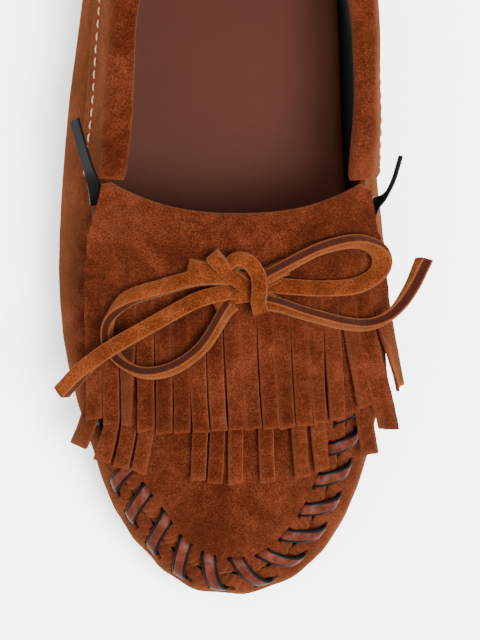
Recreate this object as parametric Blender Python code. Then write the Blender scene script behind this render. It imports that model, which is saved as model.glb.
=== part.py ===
"""Fringed suede moccasin, right shoe, as separate closed solids.

Frame: metres, +Z up, floor at z = 0, toe towards -Y, heel towards +Y, medial side towards +X.
Everything is derived from one table of stations round the shoe: the widest outline of the wrap,
and the top edge of the wrap, which is the toe seam in front and the topline behind.
"""

import math

import bpy
import bmesh
import numpy as np
from mathutils import Vector
from mathutils.bvhtree import BVHTree

MM = 0.001

# Overall sizes
LENGTH = 0.2465  # toe to heel
BALL_WIDTH = 0.0955  # across the widest part of the wrap
HEEL_HEIGHT = 0.0620  # floor to the topline at the back of the heel
BULGE_HEIGHT = 0.0170  # floor to the widest line of the wrap

# Sole
OUTSOLE_THICK = 0.0045
BOARD_THICK = 0.0012
PAD_THICK = 0.0030
SOCK_THICK = 0.0010

# Hides and linings
SUEDE_THICK = 0.0015
LINING_THICK = 0.0009
COUNTER_THICK = 0.0012
FIT_GAP = 0.0003  # clearance between neighbouring layers
SEAM_GAP = 0.0012  # between the wrap's rim and the plug's edge

# Whip lace and its slots
LACE_WIDTH = 0.0044
LACE_THICK = 0.0010
STITCH_PITCH = 0.0100
STITCH_SLANT = 0.0030  # each end of a stitch is this far along the seam from its middle
SLOT_NEAR = 0.0030  # from the seam to the near side of a slot
SLOT_FAR = 0.0060  # from the seam to the far side of a slot
SLOT_SLACK = 0.0020  # a slot is this much longer than the lace is wide
SLOT_LENGTH = LACE_WIDTH + SLOT_SLACK

# Kiltie
KILTIE_THICK = 0.0012
HINGE_Y = -0.0172  # straight line on which both flaps lift
HINGE_GAP = 0.0006
CUT_Y = -0.0340  # where the fringe cuts start
STRANDS = 18
STRAND_GAP = 0.0004

# Bow lace
BOW_WIDTH = 0.0050
BOW_THICK = 0.0014
KNOT_SIZE = (0.0120, 0.0170, 0.0064)
KNOT_XY = (0.0040, -0.0340)

# Collar cuff
CUFF_HEM = 0.0130  # depth of the cuff down the outside of the wall
CUFF_INSIDE = 0.0090  # depth of the cuff down the inside
CUFF_SKIN = 0.0018
CUFF_GAP = 0.0004

NOMINAL = (246.5, 95.5, 62.0)  # the sizes, in mm, at which the stations below were drawn
THROAT = 10.0  # station of the lateral end of the toe seam; the medial end is at -THROAT
HEEL = 18.0

# Stations, in mm: widest outline (x, y), then the wrap's top edge (x, y, z).
# 0 is the toe tip, 1..17 run back along the lateral side, 18 is the heel, 19..35 run forward
# along the medial side.
STATIONS = [
    (1.5, -122.0, 0.8, -116.2, 23.0),
    (-10.9, -119.7, -8.1, -114.5, 23.2),
    (-20.0, -113.0, -16.0, -109.0, 24.0),
    (-28.3, -103.5, -22.4, -100.5, 25.0),
    (-34.3, -92.5, -28.6, -91.0, 26.5),
    (-38.8, -79.5, -32.7, -79.0, 28.5),
    (-43.4, -65.7, -36.0, -65.7, 31.0),
    (-47.0, -50.0, -38.0, -50.0, 34.0),
    (-48.5, -33.0, -38.5, -33.0, 37.5),
    (-48.4, -17.0, -37.8, -17.0, 42.0),
    (-47.6, -1.0, -35.6, -3.0, 48.0),
    (-45.8, 18.0, -34.0, 16.0, 50.0),
    (-43.2, 37.0, -33.0, 36.0, 50.0),
    (-41.0, 56.0, -31.8, 55.0, 50.5),
    (-38.8, 75.0, -30.4, 74.0, 52.0),
    (-35.4, 93.0, -28.8, 91.0, 55.0),
    (-28.4, 109.0, -22.6, 105.0, 58.5),
    (-16.0, 120.0, -12.6, 114.5, 61.5),
    (0.5, 124.5, 0.4, 118.5, 62.0),
    (16.6, 120.0, 13.0, 114.5, 61.5),
    (28.6, 109.0, 23.4, 105.0, 58.5),
    (35.2, 93.0, 30.4, 91.0, 55.0),
    (37.6, 75.0, 34.8, 74.0, 52.5),
    (39.4, 56.0, 37.8, 55.0, 51.0),
    (41.4, 37.0, 39.2, 36.0, 50.5),
    (43.0, 18.0, 39.4, 16.0, 50.5),
    (44.0, -1.0, 38.0, -3.0, 48.0),
    (45.6, -17.0, 39.2, -17.0, 42.5),
    (47.0, -33.0, 39.0, -33.0, 37.5),
    (46.4, -50.0, 37.5, -50.0, 34.0),
    (44.8, -65.7, 35.5, -65.7, 31.0),
    (42.0, -79.5, 33.0, -79.0, 28.5),
    (38.0, -92.5, 29.2, -91.0, 26.5),
    (32.8, -103.5, 24.0, -102.0, 25.0),
    (25.2, -113.0, 17.0, -110.5, 24.0),
    (14.4, -119.7, 9.2, -115.2, 23.2),
]
# Inset of the sole's edge inside the widest outline, in mm, at the same stations.
SOLE_INSET = [
    5.0, 5.2, 5.6, 6.0, 6.4, 6.8, 7.2, 7.6, 8.0, 8.6, 9.4, 10.0, 9.6, 8.6, 7.4, 6.4, 5.6, 5.2,
    5.0, 5.2, 5.6, 6.6, 6.6, 7.6, 8.8, 9.8, 9.8, 9.6, 8.8, 7.8, 7.2, 6.8, 6.4, 6.0, 5.6, 5.2,
]

SCALE = np.array([BALL_WIDTH / MM / NOMINAL[1], LENGTH / MM / NOMINAL[0], HEEL_HEIGHT / MM / NOMINAL[2]])


def mm(size):
    """A size in metres as millimetres; all the working below is in millimetres."""
    return size / MM


def curve(table, t):
    """Closed Catmull-Rom curve through the rows of table at the station numbers t."""
    rows = np.asarray(table, float)
    if rows.ndim == 1:
        rows = rows[:, None]
    t = np.atleast_1d(np.asarray(t, float))
    i = np.floor(t).astype(int)
    f = (t - i)[:, None]
    p = [rows[(i + k) % len(rows)] for k in (-1, 0, 1, 2)]
    return 0.5 * (
        2 * p[1]
        + (p[2] - p[0]) * f
        + (2 * p[0] - 5 * p[1] + 4 * p[2] - p[3]) * f**2
        + (3 * p[1] - p[0] - 3 * p[2] + p[3]) * f**3
    )


def unit(v):
    """Rows of v at unit length."""
    return v / np.maximum(np.linalg.norm(v, axis=-1, keepdims=True), 1e-9)


def outline(t):
    """Widest outline at stations t."""
    flat = curve([row[:2] for row in STATIONS], t) * SCALE[:2]
    return np.column_stack([flat, np.full(len(flat), mm(BULGE_HEIGHT))])


def rim(t):
    """Top edge of the wrap at stations t."""
    return curve([row[2:] for row in STATIONS], t) * SCALE


def outward(t):
    """Horizontal outward directions of the outline at stations t."""
    t = np.atleast_1d(np.asarray(t, float))
    along = outline(t + 0.05) - outline(t - 0.05)
    return unit(np.column_stack([-along[:, 1], along[:, 0], np.zeros(len(t))]) * -1.0) * OUT_SIGN


def sole_edge(t, grow=0.0, z=None):
    """Edge of the flat bottom of the wrap, grown outward by grow."""
    inset = curve(SOLE_INSET, t)[:, 0]
    edge = outline(t) + outward(t) * (grow - inset)[:, None]
    edge[:, 2] = mm(OUTSOLE_THICK + FIT_GAP) if z is None else z
    return edge


OUT_SIGN = 1.0
if np.dot(outward([HEEL])[0], [0, 1, 0]) < 0:
    OUT_SIGN = -1.0


def profile(t, steps=40):
    """Outer face of the wall at each station: (station, step, xyz) from the sole's edge to the rim."""
    t = np.atleast_1d(np.asarray(t, float))
    low, wide, top = sole_edge(t), outline(t), rim(t)
    s = np.linspace(0, 1, steps)[None, :, None]
    up = np.array([0, 0, 1.0])

    def bezier(a, b, c, d):
        """Cubic between a and d."""
        a, b, c, d = (q[:, None, :] for q in (a, b, c, d))
        return (1 - s) ** 3 * a + 3 * s * (1 - s) ** 2 * b + 3 * s**2 * (1 - s) * c + s**3 * d

    drop = (wide[:, 2:] - low[:, 2:]) * 0.55 * up
    flat = (wide - low) * np.array([0.6, 0.6, 0.0])
    lower = bezier(low, low + flat, wide - drop, wide)
    rise = (top[:, 2:] - wide[:, 2:]) * up
    lean = (wide - top) * np.array([1.0, 1.0, 0.0])
    front = np.clip((THROAT + 1.0 - np.abs((t + HEEL) % 36 - HEEL)) / 4.0, 0, 1)[:, None]
    upper = bezier(
        wide,
        wide + rise * (0.45 + 0.15 * front),
        top + lean * (0.35 + 0.15 * front) - rise * (0.35 - 0.25 * front),
        top,
    )
    return np.concatenate([lower[:, :-1], upper], axis=1)


def wall(t, from_rim, fraction=()):
    """Wall points at fractions of the profile's length, then at distances below the rim, with normals."""
    points = profile(t)
    step = np.linalg.norm(np.diff(points, axis=1), axis=2)
    run = np.concatenate([np.zeros((len(points), 1)), np.cumsum(step, axis=1)], axis=1)
    along = profile(np.asarray(t) + 0.02) - profile(np.asarray(t) - 0.02)
    up = np.gradient(points, axis=1)
    normals = unit(np.cross(up, along))
    side = np.sign(np.sum(normals[:, 30] * outward(t), axis=1))[:, None, None]
    normals = normals * side
    rows, faces = [], []
    for k in range(len(points)):
        length = run[k, -1]
        last = max(from_rim) if len(from_rim) else 0.0
        where = [f * (length - last) for f in fraction] + [length - d for d in from_rim]
        rows.append([[np.interp(w, run[k], points[k, :, a]) for a in range(3)] for w in where])
        faces.append([[np.interp(w, run[k], normals[k, :, a]) for a in range(3)] for w in where])
    return np.array(rows), unit(np.array(faces))


def material(name, color, rough):
    """A plain Principled material."""
    m = bpy.data.materials.new(name)
    m.use_nodes = True
    b = m.node_tree.nodes["Principled BSDF"]
    b.inputs["Base Color"].default_value = (*color, 1.0)
    b.inputs["Roughness"].default_value = rough
    m.diffuse_color = (*color, 1.0)
    return m


def solid(name, verts, faces, mat, origin=(0.0, 0.0, 0.0)):
    """One closed solid from millimetre points, with outward faces and its origin at origin (metres)."""
    mesh = bpy.data.meshes.new(name)
    at = np.array(origin)
    mesh.from_pydata([tuple(np.array(v) * MM - at) for v in verts], [], [tuple(f) for f in faces])
    bm = bmesh.new()
    bm.from_mesh(mesh)
    loose = [v for v in bm.verts if not v.link_faces]
    bmesh.ops.delete(bm, geom=loose, context="VERTS")
    bmesh.ops.recalc_face_normals(bm, faces=bm.faces)
    bmesh.ops.triangulate(bm, faces=[f for f in bm.faces if len(f.verts) == 4])
    bm.to_mesh(mesh)
    bm.free()
    obj = bpy.data.objects.new(name, mesh)
    obj.location = origin
    mesh.materials.append(mat)
    bpy.context.collection.objects.link(obj)
    return obj


def slab(name, outer, inner, mat, keep=None, ring=False, caps=False, origin=(0.0, 0.0, 0.0)):
    """A sheet between two grids of points (columns, rows, xyz), as one closed solid.

    keep marks the cells that are material; ring joins the last column to the first; caps closes the
    first row of each face with one flat polygon instead of an edge wall.
    """
    nu, nv = outer.shape[:2]
    cu, cv = (nu if ring else nu - 1), nv - 1
    keep = np.ones((cu, cv), bool) if keep is None else keep
    verts = list(outer.reshape(-1, 3)) + list(inner.reshape(-1, 3))

    def at(i, j, low):
        """Index of a grid point on the outer or the inner face."""
        return (i % nu) * nv + j + (nu * nv if low else 0)

    faces = []
    for i in range(cu):
        for j in range(cv):
            if not keep[i, j]:
                continue
            corners = [(i, j), (i + 1, j), (i + 1, j + 1), (i, j + 1)]
            faces.append([at(a, b, False) for a, b in corners])
            faces.append([at(a, b, True) for a, b in reversed(corners)])
            sides = [((i, j), (i + 1, j), i, j - 1), ((i + 1, j), (i + 1, j + 1), i + 1, j)]
            sides += [((i + 1, j + 1), (i, j + 1), i, j + 1), ((i, j + 1), (i, j), i - 1, j)]
            for a, b, ci, cj in sides:
                if ring:
                    ci %= nu
                inside = 0 <= ci < cu and 0 <= cj < cv and keep[ci, cj]
                if inside or (caps and cj < 0):
                    continue
                faces.append([at(*b, False), at(*a, False), at(*a, True), at(*b, True)])
    if caps:
        faces.append([at(i, 0, False) for i in range(nu)])
        faces.append([at(i, 0, True) for i in reversed(range(nu))])
    return solid(name, verts, faces, mat, origin)


def prism(name, loops, mat):
    """A closed stack of loops, flat at both ends."""
    n = len(loops[0])
    verts = [p for loop in loops for p in loop]
    faces = [list(range(n)), list(reversed(range(n * (len(loops) - 1), n * len(loops))))]
    for k in range(len(loops) - 1):
        for i in range(n):
            j = (i + 1) % n
            faces.append([k * n + i, k * n + j, (k + 1) * n + j, (k + 1) * n + i])
    return solid(name, verts, faces, mat)


def strap(name, path, across, thick, mat, origin=(0.0, 0.0, 0.0)):
    """A flat lace along path: across gives half its width as a vector, thick half its thickness."""
    path, across = np.asarray(path), np.asarray(across)
    normal = unit(np.cross(np.gradient(path, axis=0), across)) * np.asarray(thick).reshape(-1, 1)
    outer = np.stack([path - across + normal, path + across + normal], axis=1)
    inner = np.stack([path - across - normal, path + across - normal], axis=1)
    return slab(name, outer, inner, mat, origin=origin)


for old in list(bpy.data.objects):
    bpy.data.objects.remove(old, do_unlink=True)

SUEDE = material("suede", (0.32, 0.13, 0.045), 0.95)
SUEDE_FRINGE = material("suede_fringe", (0.34, 0.14, 0.05), 0.95)
SUEDE_BOW = material("suede_bow", (0.42, 0.18, 0.07), 0.9)
LEATHER = material("lace_leather", (0.22, 0.07, 0.03), 0.5)
SOCK = material("sock_leather", (0.16, 0.055, 0.03), 0.55)
LINING = material("lining", (0.02, 0.018, 0.018), 0.9)
BOARD = material("board", (0.45, 0.36, 0.25), 0.9)
FOAM = material("foam", (0.75, 0.72, 0.6), 0.9)
RUBBER = material("rubber", (0.14, 0.09, 0.06), 0.8)

# Sole and insole, from the floor up
ROUND = np.linspace(0, 36, 56, endpoint=False)
base = mm(OUTSOLE_THICK)
prism(
    "outsole",
    [
        sole_edge(ROUND, 0.6, 0.0),
        sole_edge(ROUND, 1.4, 0.8),
        sole_edge(ROUND, 1.4, base - 0.8),
        sole_edge(ROUND, 0.4, base),
    ],
    RUBBER,
)
floor_in = mm(OUTSOLE_THICK + 2 * FIT_GAP + SUEDE_THICK)
levels = [("insole_board", BOARD_THICK, -1.6, BOARD), ("insole_pad", PAD_THICK, -1.2, FOAM)]
levels.append(("sock_lining", SOCK_THICK, 0.4, SOCK))
for layer, thick, grow, mat in levels:
    prism(layer, [sole_edge(ROUND, grow, floor_in), sole_edge(ROUND, grow, floor_in + mm(thick))], mat)
    floor_in += mm(thick + FIT_GAP)

# Positions of the stitches along the toe seam, measured from its medial end
dense = np.linspace(-THROAT, THROAT, 801)
seam = rim(dense)
seam_run = np.concatenate([[0], np.cumsum(np.linalg.norm(np.diff(seam, axis=0), axis=1))])
stitches = int((seam_run[-1] - 14.0) / mm(STITCH_PITCH)) + 1
first = (seam_run[-1] - (stitches - 1) * mm(STITCH_PITCH)) / 2
middles = first + mm(STITCH_PITCH) * np.arange(stitches)


def station(run):
    """Station number at a distance along the toe seam."""
    return np.interp(run, seam_run, dense)


# Stations of the walls behind the seam, shared by every layer there so that they nest
back = np.linspace(THROAT, 36 - THROAT, 33)


def back_between(low, high):
    """The shared stations between low and high, with low and high themselves."""
    return np.concatenate([[low], back[(back > low + 0.1) & (back < high - 0.1)], [high]])


# Wrap: the bottom, the side walls and the turned-up toe, slotted below the seam
slot_half = mm(SLOT_LENGTH) / 2
outer_mid = middles - mm(STITCH_SLANT)
cols = np.sort(np.concatenate([outer_mid - slot_half, outer_mid + slot_half]))
wrap_t = np.concatenate([station(cols), back])
drops = [mm(SLOT_FAR), mm(SLOT_NEAR), 0.0]
points, normals = wall(wrap_t, drops, (0.0, 0.12, 0.26, 0.42, 0.6, 0.8))
normals[:, 0] = (0, 0, -1)
slots = np.ones((len(wrap_t), points.shape[1] - 1), bool)
slots[0 : 2 * stitches : 2, -2] = False
slab("wrap", points, points - normals * mm(SUEDE_THICK), SUEDE, slots, ring=True, caps=True)

# Plug: crowned over the toes, slotted inside the seam, with a hollowed throat edge
left, right = seam[dense >= 0], seam[dense <= 0][::-1]


def edges(y):
    """Both seam edges at y: x and z, lateral then medial."""
    lat = [np.interp(y, left[:, 1], left[:, k]) for k in (0, 2)]
    med = [np.interp(y, right[:, 1], right[:, k]) for k in (0, 2)]
    return lat, med


def crown(x, y):
    """Height of the plug's outer face."""
    x, y = np.asarray(x, float), np.asarray(y, float)
    tip = seam[:, 1].min()
    d = np.maximum(y - tip, 0.0)
    lat, med = edges(y)
    middle = (lat[0] + med[0]) / 2
    half = np.maximum((med[0] - lat[0]) / 2, 1.0)
    u = np.clip((x - middle) / half, -1, 1)
    rise = (5.5 * (1 - np.exp(-d / 8.0)) + 0.262 * d) * SCALE[2]
    top = np.maximum(rim([0.0])[0, 2] + rise, (lat[1] + med[1]) / 2)
    edge = lat[1] + (med[1] - lat[1]) * (u + 1) / 2
    return edge + (top - (lat[1] + med[1]) / 2) * (1 - np.abs(u) ** 2.2)


def slope(surface, x, y, step=0.4):
    """Upward unit normals of a height surface."""
    gx = (surface(x + step, y) - surface(x - step, y)) / (2 * step)
    gy = (surface(x, y + step) - surface(x, y - step)) / (2 * step)
    return unit(np.stack([-gx, -gy, np.ones_like(gx)], axis=-1))


inner_mid = middles + mm(STITCH_SLANT)
plug_runs = np.sort(np.concatenate([inner_mid - slot_half, inner_mid + slot_half]))
plug_runs = np.clip(plug_runs, 0.5, seam_run[-1] - 0.5)
plug_t = station(plug_runs)
edge_line = rim(plug_t)
seam_dir = unit((rim(plug_t + 0.03) - rim(plug_t - 0.03)) * [1, 1, 0])
inward = np.column_stack([-seam_dir[:, 1], seam_dir[:, 0], np.zeros(len(plug_t))])
centre = np.array([1.0, -58.0, 0.0]) * SCALE
inward *= np.sign(np.sum(inward * (centre - edge_line), axis=1))[:, None]
throat_u = np.linspace(0, 1, 9)[1:-1]


def throat_y(x):
    """The hollowed throat line in plan."""
    lat, med = edges(-4.0 * SCALE[1])
    u = (x - (lat[0] + med[0]) / 2) / ((med[0] - lat[0]) / 2)
    return (-13.5 + 9.0 * np.abs(u) ** 2.4) * SCALE[1]


start, end = edge_line[-1] + inward[-1] * 1.0, edge_line[0] + inward[0] * 1.0
throat = np.zeros((len(throat_u), 3))
throat[:, 0] = start[0] + (end[0] - start[0]) * throat_u
throat[:, 1] = throat_y(throat[:, 0])
rings = []
for depth in (mm(SEAM_GAP), mm(SLOT_NEAR), mm(SLOT_FAR)):
    back_in = np.array([0, -1.0, 0]) * (depth - mm(SEAM_GAP))
    rings.append(np.concatenate([edge_line + inward * depth, throat + back_in]))
for shrink in (0.68, 0.36, 0.05):
    rings.append(centre + (rings[2] - centre) * shrink)
plug_grid = np.stack(rings, axis=1)[:, ::-1]
plug_grid[..., 2] = crown(plug_grid[..., 0], plug_grid[..., 1])
plug_normals = slope(crown, plug_grid[..., 0], plug_grid[..., 1])
plug_keep = np.ones((len(plug_grid), plug_grid.shape[1] - 1), bool)
plug_keep[0 : 2 * stitches : 2, -2] = False
slab("plug", plug_grid, plug_grid - plug_normals * mm(SUEDE_THICK), SUEDE, plug_keep, ring=True, caps=True)

# Heel counter and quarter lining, nested inside the wall
counter_room = mm(COUNTER_THICK + FIT_GAP)


def lining_depth(t):
    """Depth of the lining's outer face behind the wall's outer face."""
    heelward = np.clip((6.0 - np.abs(np.asarray(t) - HEEL)) / 1.6, 0, 1)
    return mm(SUEDE_THICK + FIT_GAP) + counter_room * heelward**2 * (3 - 2 * heelward)


counter_t = back_between(HEEL - 4.0, HEEL + 4.0)
points, normals = wall(counter_t, [14.0], (0.34, 0.56, 0.78))
near = mm(SUEDE_THICK + FIT_GAP)
slab("heel_counter", points - normals * near, points - normals * (near + mm(COUNTER_THICK)), BOARD)

lining_t = back_between(THROAT + 0.08, 36 - THROAT - 0.08)
points, normals = wall(lining_t, [drops[0], 1.0], (0.26, 0.42, 0.6, 0.8))
face = lining_depth(lining_t)[:, None, None]
slab("quarter_lining", points - normals * face, points - normals * (face + mm(LINING_THICK)), LINING)

# Collar cuff: a strip folded over the topline, stitched low on the outside
cuff_t = back_between(THROAT + 0.12, 36 - THROAT - 0.12)
hem, gap, skin = mm(CUFF_HEM), mm(CUFF_GAP), mm(CUFF_SKIN)
points, normals = wall(cuff_t, [hem, hem * 0.6, hem * 0.22, 0.0, mm(CUFF_INSIDE), mm(CUFF_INSIDE) * 0.4])
out = outward(cuff_t)
lift = np.array([0, 0, 1.0])
depth = (lining_depth(cuff_t) + mm(LINING_THICK) + gap)[:, None]
top = points[:, 3]
skins, cores = [], []
for row, extra in ((0, -0.3), (1, 0.1), (2, 0.5)):
    skins.append(points[:, row] + normals[:, row] * (gap + skin + extra))
    cores.append(points[:, row] + normals[:, row] * gap)
for across, high, core_across, core_high in (
    (1.6, 2.6, 0.4, 0.5), (-2.2, 3.9, -1.6, 0.8), (-5.6, 2.4, -3.6, 0.5),
):
    deeper = out * -(depth - 3.0) * (1.0 if across < 0 else 0.0)
    skins.append(top + out * across + lift * high + deeper)
    cores.append(top + out * core_across + lift * core_high + deeper)
for row, extra in ((5, 0.3), (4, -0.2)):
    cores.append(points[:, row] - normals[:, row] * depth)
    skins.append(points[:, row] - normals[:, row] * (depth + skin + extra))
slab("collar_cuff", np.stack(skins, axis=1), np.stack(cores, axis=1), SUEDE)

# Whip lace: over the seam from the wrap's slot to the plug's slot, then under to the next.
# Both of its ends come up through a slot of the wrap.
reach = (mm(SLOT_NEAR) + mm(SLOT_FAR)) / 2
over = [(0.0, 0.0, 0.0), (0.04, 0.0, 1.8), (0.25, 0.2, 3.3), (0.5, 0.5, 3.7), (0.75, 0.8, 3.3)]
over += [(0.96, 1.0, 1.8), (1.0, 1.0, 0.0)]
under = [(0.06, 1.0, -1.7), (0.3, 0.78, -2.9), (0.7, 0.22, -2.9), (0.94, 0.0, -1.7)]
lace_runs, lace_cross, lace_high = [], [], []
for middle in middles:
    last = middle == middles[-1]
    for f, cross, high in over[: 2 if last else None]:
        lace_runs.append(middle + mm(STITCH_SLANT) * (2 * f - 1))
        lace_cross.append(cross)
        lace_high.append(high)
    for f, cross, high in () if last else under:
        lace_runs.append(middle + mm(STITCH_SLANT) + f * (mm(STITCH_PITCH) - 2 * mm(STITCH_SLANT)))
        lace_cross.append(cross)
        lace_high.append(high)
lace_runs, lace_cross, lace_high = map(np.array, (lace_runs, lace_cross, lace_high))
lace_t = station(lace_runs)
wrap_side, wrap_normal = wall(lace_t, [reach])
wrap_side = wrap_side[:, 0] - wrap_normal[:, 0] * mm(SUEDE_THICK) / 2
lace_edge = rim(lace_t)
lace_dir = unit(rim(lace_t + 0.03) - rim(lace_t - 0.03))
lace_in = unit(np.column_stack([-lace_dir[:, 1], lace_dir[:, 0], np.zeros(len(lace_t))]))
lace_in *= np.sign(np.sum(lace_in * (centre - lace_edge), axis=1))[:, None]
plug_side = lace_edge + lace_in * reach
plug_side[:, 2] = crown(plug_side[:, 0], plug_side[:, 1])
plug_normal = slope(crown, plug_side[:, 0], plug_side[:, 1])
plug_side = plug_side - plug_normal * mm(SUEDE_THICK) / 2
raised = unit(wrap_normal[:, 0] + (plug_normal - wrap_normal[:, 0]) * lace_cross[:, None])
path = wrap_side + (plug_side - wrap_side) * lace_cross[:, None] + raised * lace_high[:, None]
half_width = mm(LACE_WIDTH) / 2
across = lace_dir * half_width
# The free ends leave at the throat corners and point back along the collar.
heads = [np.array([(44.6, -6.5, 51.0), (46.2, -1.5, 53.5), (48.0, 3.8, 56.0)])]
heads.append(np.array([(-42.4, 0.5, 50.0), (-43.8, 7.0, 51.5), (-45.2, 13.2, 53.0)]))
slim = np.ones(len(path))
path = np.concatenate([heads[0][::-1] * SCALE, path, heads[1] * SCALE])
tips = [np.array([(0.35, -0.2, 0.9)] * 3), np.array([(0.35, 0.2, 0.9)] * 3)]
across = np.concatenate([unit(tips[0]) * half_width, across, unit(tips[1]) * half_width])
LACE_PATH = path


def aligned(path, across):
    """Half widths flipped where needed, so that the lace never turns over between two points."""
    normal = np.cross(np.gradient(path, axis=0), across)
    fixed = across.copy()
    for k in range(1, len(path)):
        if np.dot(fixed[k], fixed[k - 1]) < 0:
            fixed[k] *= -1
    return fixed, normal


across, _ = aligned(path, across)
strap("whip_lace", path, across, np.full(len(path), mm(LACE_THICK) / 2), LEATHER)

# Height of everything under the kiltie, sampled on a grid and smoothed
CELL = 1.5
gx = np.arange(-66, 66 + CELL, CELL)
gy = np.arange(-122, 8 + CELL, CELL)
trees = []
for name in ("wrap", "whip_lace"):
    mesh = bpy.data.objects[name].data
    flat = [v.co / MM for v in mesh.vertices]
    mesh.calc_loop_triangles()
    trees.append(BVHTree.FromPolygons(flat, [tuple(f.vertices) for f in mesh.loop_triangles]))
ground = np.full((len(gx), len(gy)), -1.0)
for i, x in enumerate(gx):
    for j, y in enumerate(gy):
        lat, med = edges(min(y, -4.0))
        if lat[0] <= x <= med[0]:
            ground[i, j] = crown(x, y)
        for tree in trees:
            hit = tree.ray_cast(Vector((x, y, 200.0)), Vector((0, 0, -1)))[0]
            if hit is not None and hit.z > 15.0 and abs(x) > 25.0:
                ground[i, j] = max(ground[i, j], hit.z)
for j in range(len(gy)):
    known = np.nonzero(ground[:, j] > 0)[0]
    if len(known) == 0:
        continue
    for i in range(known[0] - 1, -1, -1):
        ground[i, j] = ground[i + 1, j] - 2.4 * CELL
    for i in range(known[-1] + 1, len(gx)):
        ground[i, j] = ground[i - 1, j] - 2.4 * CELL


def spread(field, radius):
    """Largest value within radius cells, along both axes."""
    best = field.copy()
    for axis in (0, 1):
        source = best.copy()
        for k in range(-radius, radius + 1):
            best = np.maximum(best, np.roll(source, k, axis=axis))
    return best


def soften(field, times):
    """Repeated three-point averages along both axes."""
    for _ in range(times):
        for axis in (0, 1):
            field = (np.roll(field, 1, axis) + 2 * field + np.roll(field, -1, axis)) / 4
    return field


draped = soften(np.maximum(soften(spread(ground, 2), 4), spread(ground, 1)), 1)


def under_height(x, y):
    """Smoothed height of whatever the kiltie lies on."""
    x, y = np.asarray(x, float), np.asarray(y, float)
    fx = np.clip((x - gx[0]) / CELL, 0, len(gx) - 1.001)
    fy = np.clip((y - gy[0]) / CELL, 0, len(gy) - 1.001)
    i, j = fx.astype(int), fy.astype(int)
    u, v = fx - i, fy - j
    low = draped[i, j] * (1 - u) + draped[i + 1, j] * u
    high = draped[i, j + 1] * (1 - u) + draped[i + 1, j + 1] * u
    return low * (1 - v) + high * v


def lay(x, y, height):
    """Points at a height above the draped surface, measured square to it."""
    n = slope(under_height, x, y, 1.0)
    steep = 1.0 / np.maximum(n[..., 2], 0.4)
    return np.stack([x, y, under_height(x, y) + height * steep], axis=-1)


UNDER_LOW = mm(FIT_GAP) + 0.1
UNDER_TOP = UNDER_LOW + mm(KILTIE_THICK)
UPPER_LOW = UNDER_TOP + mm(FIT_GAP) + 0.4
UPPER_TOP = UPPER_LOW + mm(KILTIE_THICK)
hinge_y = mm(HINGE_Y)
hinge_z = float(under_height(2.0, hinge_y)) + UPPER_TOP + 0.2
HINGE = (0.0, HINGE_Y, hinge_z * MM)

# Kiltie: rolled top edge, which stays with the shoe
u = np.linspace(0, 1, 19)
top_x = (-37.0 + 76.0 * u) * SCALE[0]
low_x = (-40.2 + 81.4 * u) * SCALE[0]
bow_u = np.abs(2 * u - 1)
top_y = (-12.6 + 8.2 * bow_u**2.6 - 2.6 * np.clip(bow_u - 0.9, 0, 1) * 10 * 0.5) * SCALE[1]
fold_rows = [(0.0, 0.9, 1.6), (0.25, 0.4, 3.3), (0.7, 0.4, 3.1), (1.0, 0.4, UPPER_TOP)]
outer, inner = [], []
for f, low, high in fold_rows:
    x = top_x + (low_x - top_x) * f
    y = top_y + (hinge_y + mm(HINGE_GAP) / 2 - top_y) * f
    outer.append(lay(x, y, np.full_like(x, high)))
    inner.append(lay(x, y, np.full_like(x, low)))
slab("kiltie_fold", np.stack(outer, axis=1), np.stack(inner, axis=1), SUEDE_FRINGE)


def flap(name, low, high, top, band, ends, fan, mat):
    """A fringed flap: an uncut band, top wide at the hinge and band wide at the cuts, and its strands. ends
    gives x and y of strand ends across the flap; fan is how much of their sideways lean comes late."""
    gap = mm(STRAND_GAP) / 2 / (band[1] - band[0])
    strand = np.repeat(np.arange(STRANDS), 2)
    place = np.arange(STRANDS)[:, None] / STRANDS + [[gap, 1 / STRANDS - gap]]
    place[0, 0], place[-1, 1] = 0.0, 1.0
    place = place.reshape(-1)
    known = (np.arange(len(ends)) + 0.5) / len(ends)
    drawn = np.array(ends)
    last_x = np.interp((strand + 0.5) / STRANDS, known, drawn[:, 0] * SCALE[0])
    last_y = np.interp((strand + 0.5) / STRANDS, known, drawn[:, 1] * SCALE[1])
    top_x = (top[0] + (top[1] - top[0]) * place) * SCALE[0]
    cut_x = (band[0] + (band[1] - band[0]) * place) * SCALE[0]
    start, cut = hinge_y - mm(HINGE_GAP) / 2, mm(CUT_Y)
    middle_x = cut_x.reshape(-1, 2).mean(axis=1).repeat(2)
    rows = [
        (top_x, np.full(len(place), start)),
        ((top_x + cut_x) / 2, np.full(len(place), (start + cut) / 2)),
    ]
    for f in (0.0, 0.34, 0.68, 1.0):
        lean = (1 - fan) * f + fan * f**3
        rows.append((cut_x + (last_x - middle_x) * lean, cut + (last_y - cut) * f))
    outer = np.stack([lay(x, y, np.full_like(x, high)) for x, y in rows], axis=1)
    inner = np.stack([lay(x, y, np.full_like(x, low)) for x, y in rows], axis=1)
    keep = np.ones((len(place) - 1, len(rows) - 1), bool)
    keep[1::2, 2:] = False
    return slab(name, outer, inner, mat, keep, origin=HINGE)


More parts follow.
